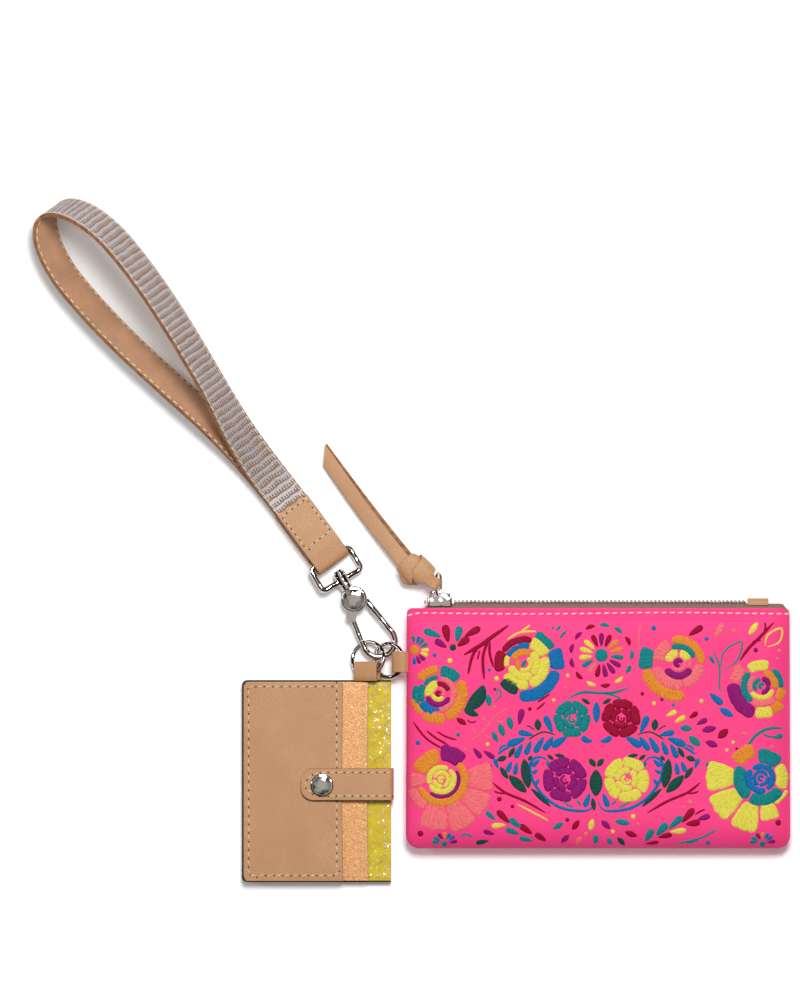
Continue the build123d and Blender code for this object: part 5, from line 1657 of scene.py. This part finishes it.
def snap_strap():
    """Snap tab: up from the case's open edge, over it, and along to a round end."""
    centre_y, half = -28.5, 8.0
    path = [(-102.75, 2.3), (-102.72, 4.4), (-102.7, 6.6), (-102.78, 8.2), (-103.4, 9.3), (-104.8, 9.58),
            (-108, 9.6)]
    path += [(-108 - 4.2 * k, 9.6) for k in range(1, 9)]
    rows = []
    for x, z in path:
        rows.append([Vector((x, centre_y + half * (-1 + j / 4), z)) for j in range(9)])
    for k in range(1, 13):
        angle = radians(90 * k / 12)
        x = path[-1][0] - 0.6 - 6.2 * sin(angle)
        width = half - 6.0 * (1 - cos(angle)) if k < 12 else 2.0
        rows.append([Vector((x, centre_y + width * (-1 + j / 4), 9.6)) for j in range(9)])
    return thick_sheet("snap_tab_leather", [row[::-1] for row in rows], 1.1, [TAN_HIDE, TAN_EDGE, TAN_HIDE])


snap_piece = snap_strap()
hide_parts("snap_tab_strap", "snap_tab_root")
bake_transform(snap_piece)
snap_rim = [(-104.6, -22.6), (-138.5, -22.6), (-143.4, -23.8), (-146.0, -28.5), (-143.4, -33.2),
            (-138.5, -34.4), (-104.6, -34.4)]
stitches("snap_tab_stitches", [straight(snap_rim, 10.2)], 4.0, 2.8, "snap_tab", thread=PALE_THREAD,
         slant=14)


# ---------------------------------------------------------------- hardware and boards from the frame

def dress(material, *names):
    """Puts one finish on parts that keep their shape."""
    for name in names:
        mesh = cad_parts[name].data
        mesh.materials.clear()
        mesh.materials.append(material)


def domed_cap(node, body, dome, rim):
    """Pressed metal cap on a disc from the frame: a low dome inside a rolled rim."""
    low, high = (Vector(corner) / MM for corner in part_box(node))
    centre = (low + high) / 2
    radius = min(high.x - low.x, high.y - low.y) / 2
    profile = [(0.3, low.z), (radius * 0.9, low.z), (radius, low.z + 0.25), (radius, high.z - rim - 0.25),
               (radius - 0.3, high.z - rim)]
    for k in range(9):
        part = 1 - k / 8
        profile.append(((radius - 0.6) * part, high.z - rim + dome * (1 - part ** 2)))
    around, points, faces = 48, [], []
    for r, z in profile[:-1]:
        points += [(centre.x + r * cos(2 * pi * k / around), centre.y + r * sin(2 * pi * k / around), z)
                   for k in range(around)]
    for i in range(len(profile) - 2):
        for k in range(around):
            nxt = (k + 1) % around
            faces.append((i * around + k, i * around + nxt, (i + 1) * around + nxt, (i + 1) * around + k))
    points.append((centre.x, centre.y, profile[-1][1]))
    top = (len(profile) - 2) * around
    faces += [(top + k, top + (k + 1) % around, len(points) - 1) for k in range(around)]
    faces.append(tuple(range(around))[::-1])
    return ride_as(make_piece(node + "_dome", points, faces, [NICKEL], sharp=50), body, "nickel", node)


def eased(node, body, width):
    """Cast part from the frame with its edges tumbled round."""
    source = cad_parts[node]
    mesh = source.data.copy()
    mesh.transform(source.matrix_world)
    mesh.materials.clear()
    mesh.materials.append(NICKEL)
    base = bpy.data.objects.new(node + "_cast", mesh)
    bpy.context.scene.collection.objects.link(base)
    weld = base.modifiers.new("weld", "WELD")
    weld.merge_threshold = 1e-6
    bevel = base.modifiers.new("tumbled", "BEVEL")
    bevel.width, bevel.segments, bevel.limit_method, bevel.angle_limit = width * MM, 3, "ANGLE", radians(35)
    made = bpy.data.meshes.new_from_object(base.evaluated_get(bpy.context.evaluated_depsgraph_get()))
    bpy.data.objects.remove(base)
    made.polygons.foreach_set("use_smooth", [True] * len(made.polygons))
    made.set_sharp_from_angle(angle=radians(50))
    piece = bpy.data.objects.new(node + "_cast", made)
    bpy.context.scene.collection.objects.link(piece)
    return ride_as(piece, body, "nickel", node)


eased("slider_body", "zip_slider", 0.7)
domed_cap("hook_front_cap", "hook", 0.8, 0.5)
domed_cap("snap_cap", "snap_tab", 0.8, 0.6)
dress(NICKEL, "slider_bridge", "pull_ring", "zip_stops", "pouch_ring", "card_ring", "hook_frame",
      "hook_back_cap", "hook_gate", "gate_pivot_pin", "swivel_post", "swivel_bail",
      "snap_socket", "snap_stud", "snap_post")
dress(SPRING_STEEL, "gate_spring")
dress(NAVY_BOARD, "case_centre_board", "case_back_panel")
dress(TAN_HIDE, "case_window_frame")
dress(CLEAR, "id_window")


# ---------------------------------------------------------------- studio

def aim(thing, place, target):
    """Places a thing so that it faces its target."""
    thing.location = place
    thing.rotation_euler = (Vector(target) - Vector(place)).to_track_quat("-Z", "Y").to_euler()
    bpy.context.scene.collection.objects.link(thing)


def soft_box(name, place, target, size, power):
    """Square lamp with a soft edge to its shadows."""
    lamp = bpy.data.lights.new(name, "AREA")
    lamp.shape, lamp.size, lamp.energy = "SQUARE", size, power
    aim(bpy.data.objects.new(name, lamp), place, target)


def studio():
    """White paper floor, soft boxes above and at the left, and a sky whose dark band the metal mirrors."""
    half, level_z = 4000, -0.8
    corners = ((-half, -half), (half, -half), (half, half), (-half, half))
    floor = make_piece("studio_floor", [(x, y, level_z) for x, y in corners],
                       [(0, 1, 2, 3)], [PAPER])
    soft_box("overhead_soft_box", (0.08, 0.75, 1.85), (-0.1, 0.1, 0), 0.6, 35)
    soft_box("left_strip", (-1.4, 0.3, 1.1), (-0.1, 0.1, 0), 0.5, 4)
    world = bpy.data.worlds.new("studio_air")
    bpy.context.scene.world = world
    world.use_nodes = True
    tree = world.node_tree
    sky = add(tree, "ShaderNodeTexCoord").outputs["Generated"]
    height = add(tree, "ShaderNodeSeparateXYZ", {"Vector": sky})
    glow = add(tree, "ShaderNodeValToRGB", {"Fac": height.outputs["Z"]},
               stops=[(0.0, "#E8E8E8"), (0.08, "#DCDCDC"), (0.14, "#141210"), (0.8, "#181412"),
                      (0.9, "#8C8A88"), (0.97, "#C8C6C4")])
    tree.links.new(glow.outputs["Color"], tree.nodes["Background"].inputs["Color"])
    tree.nodes["Background"].inputs["Strength"].default_value = 1.1


def camera():
    """Straight above, far enough off for a flat view."""
    lens = bpy.data.cameras.new("overhead")
    lens.lens, lens.clip_end = 648, 20
    eye = bpy.data.objects.new("overhead", lens)
    eye.location = (-0.099, 0.1135, 9.0)
    bpy.context.scene.collection.objects.link(eye)
    bpy.context.scene.camera = eye


studio()
camera()
bpy.context.scene.view_settings.view_transform = "Standard"
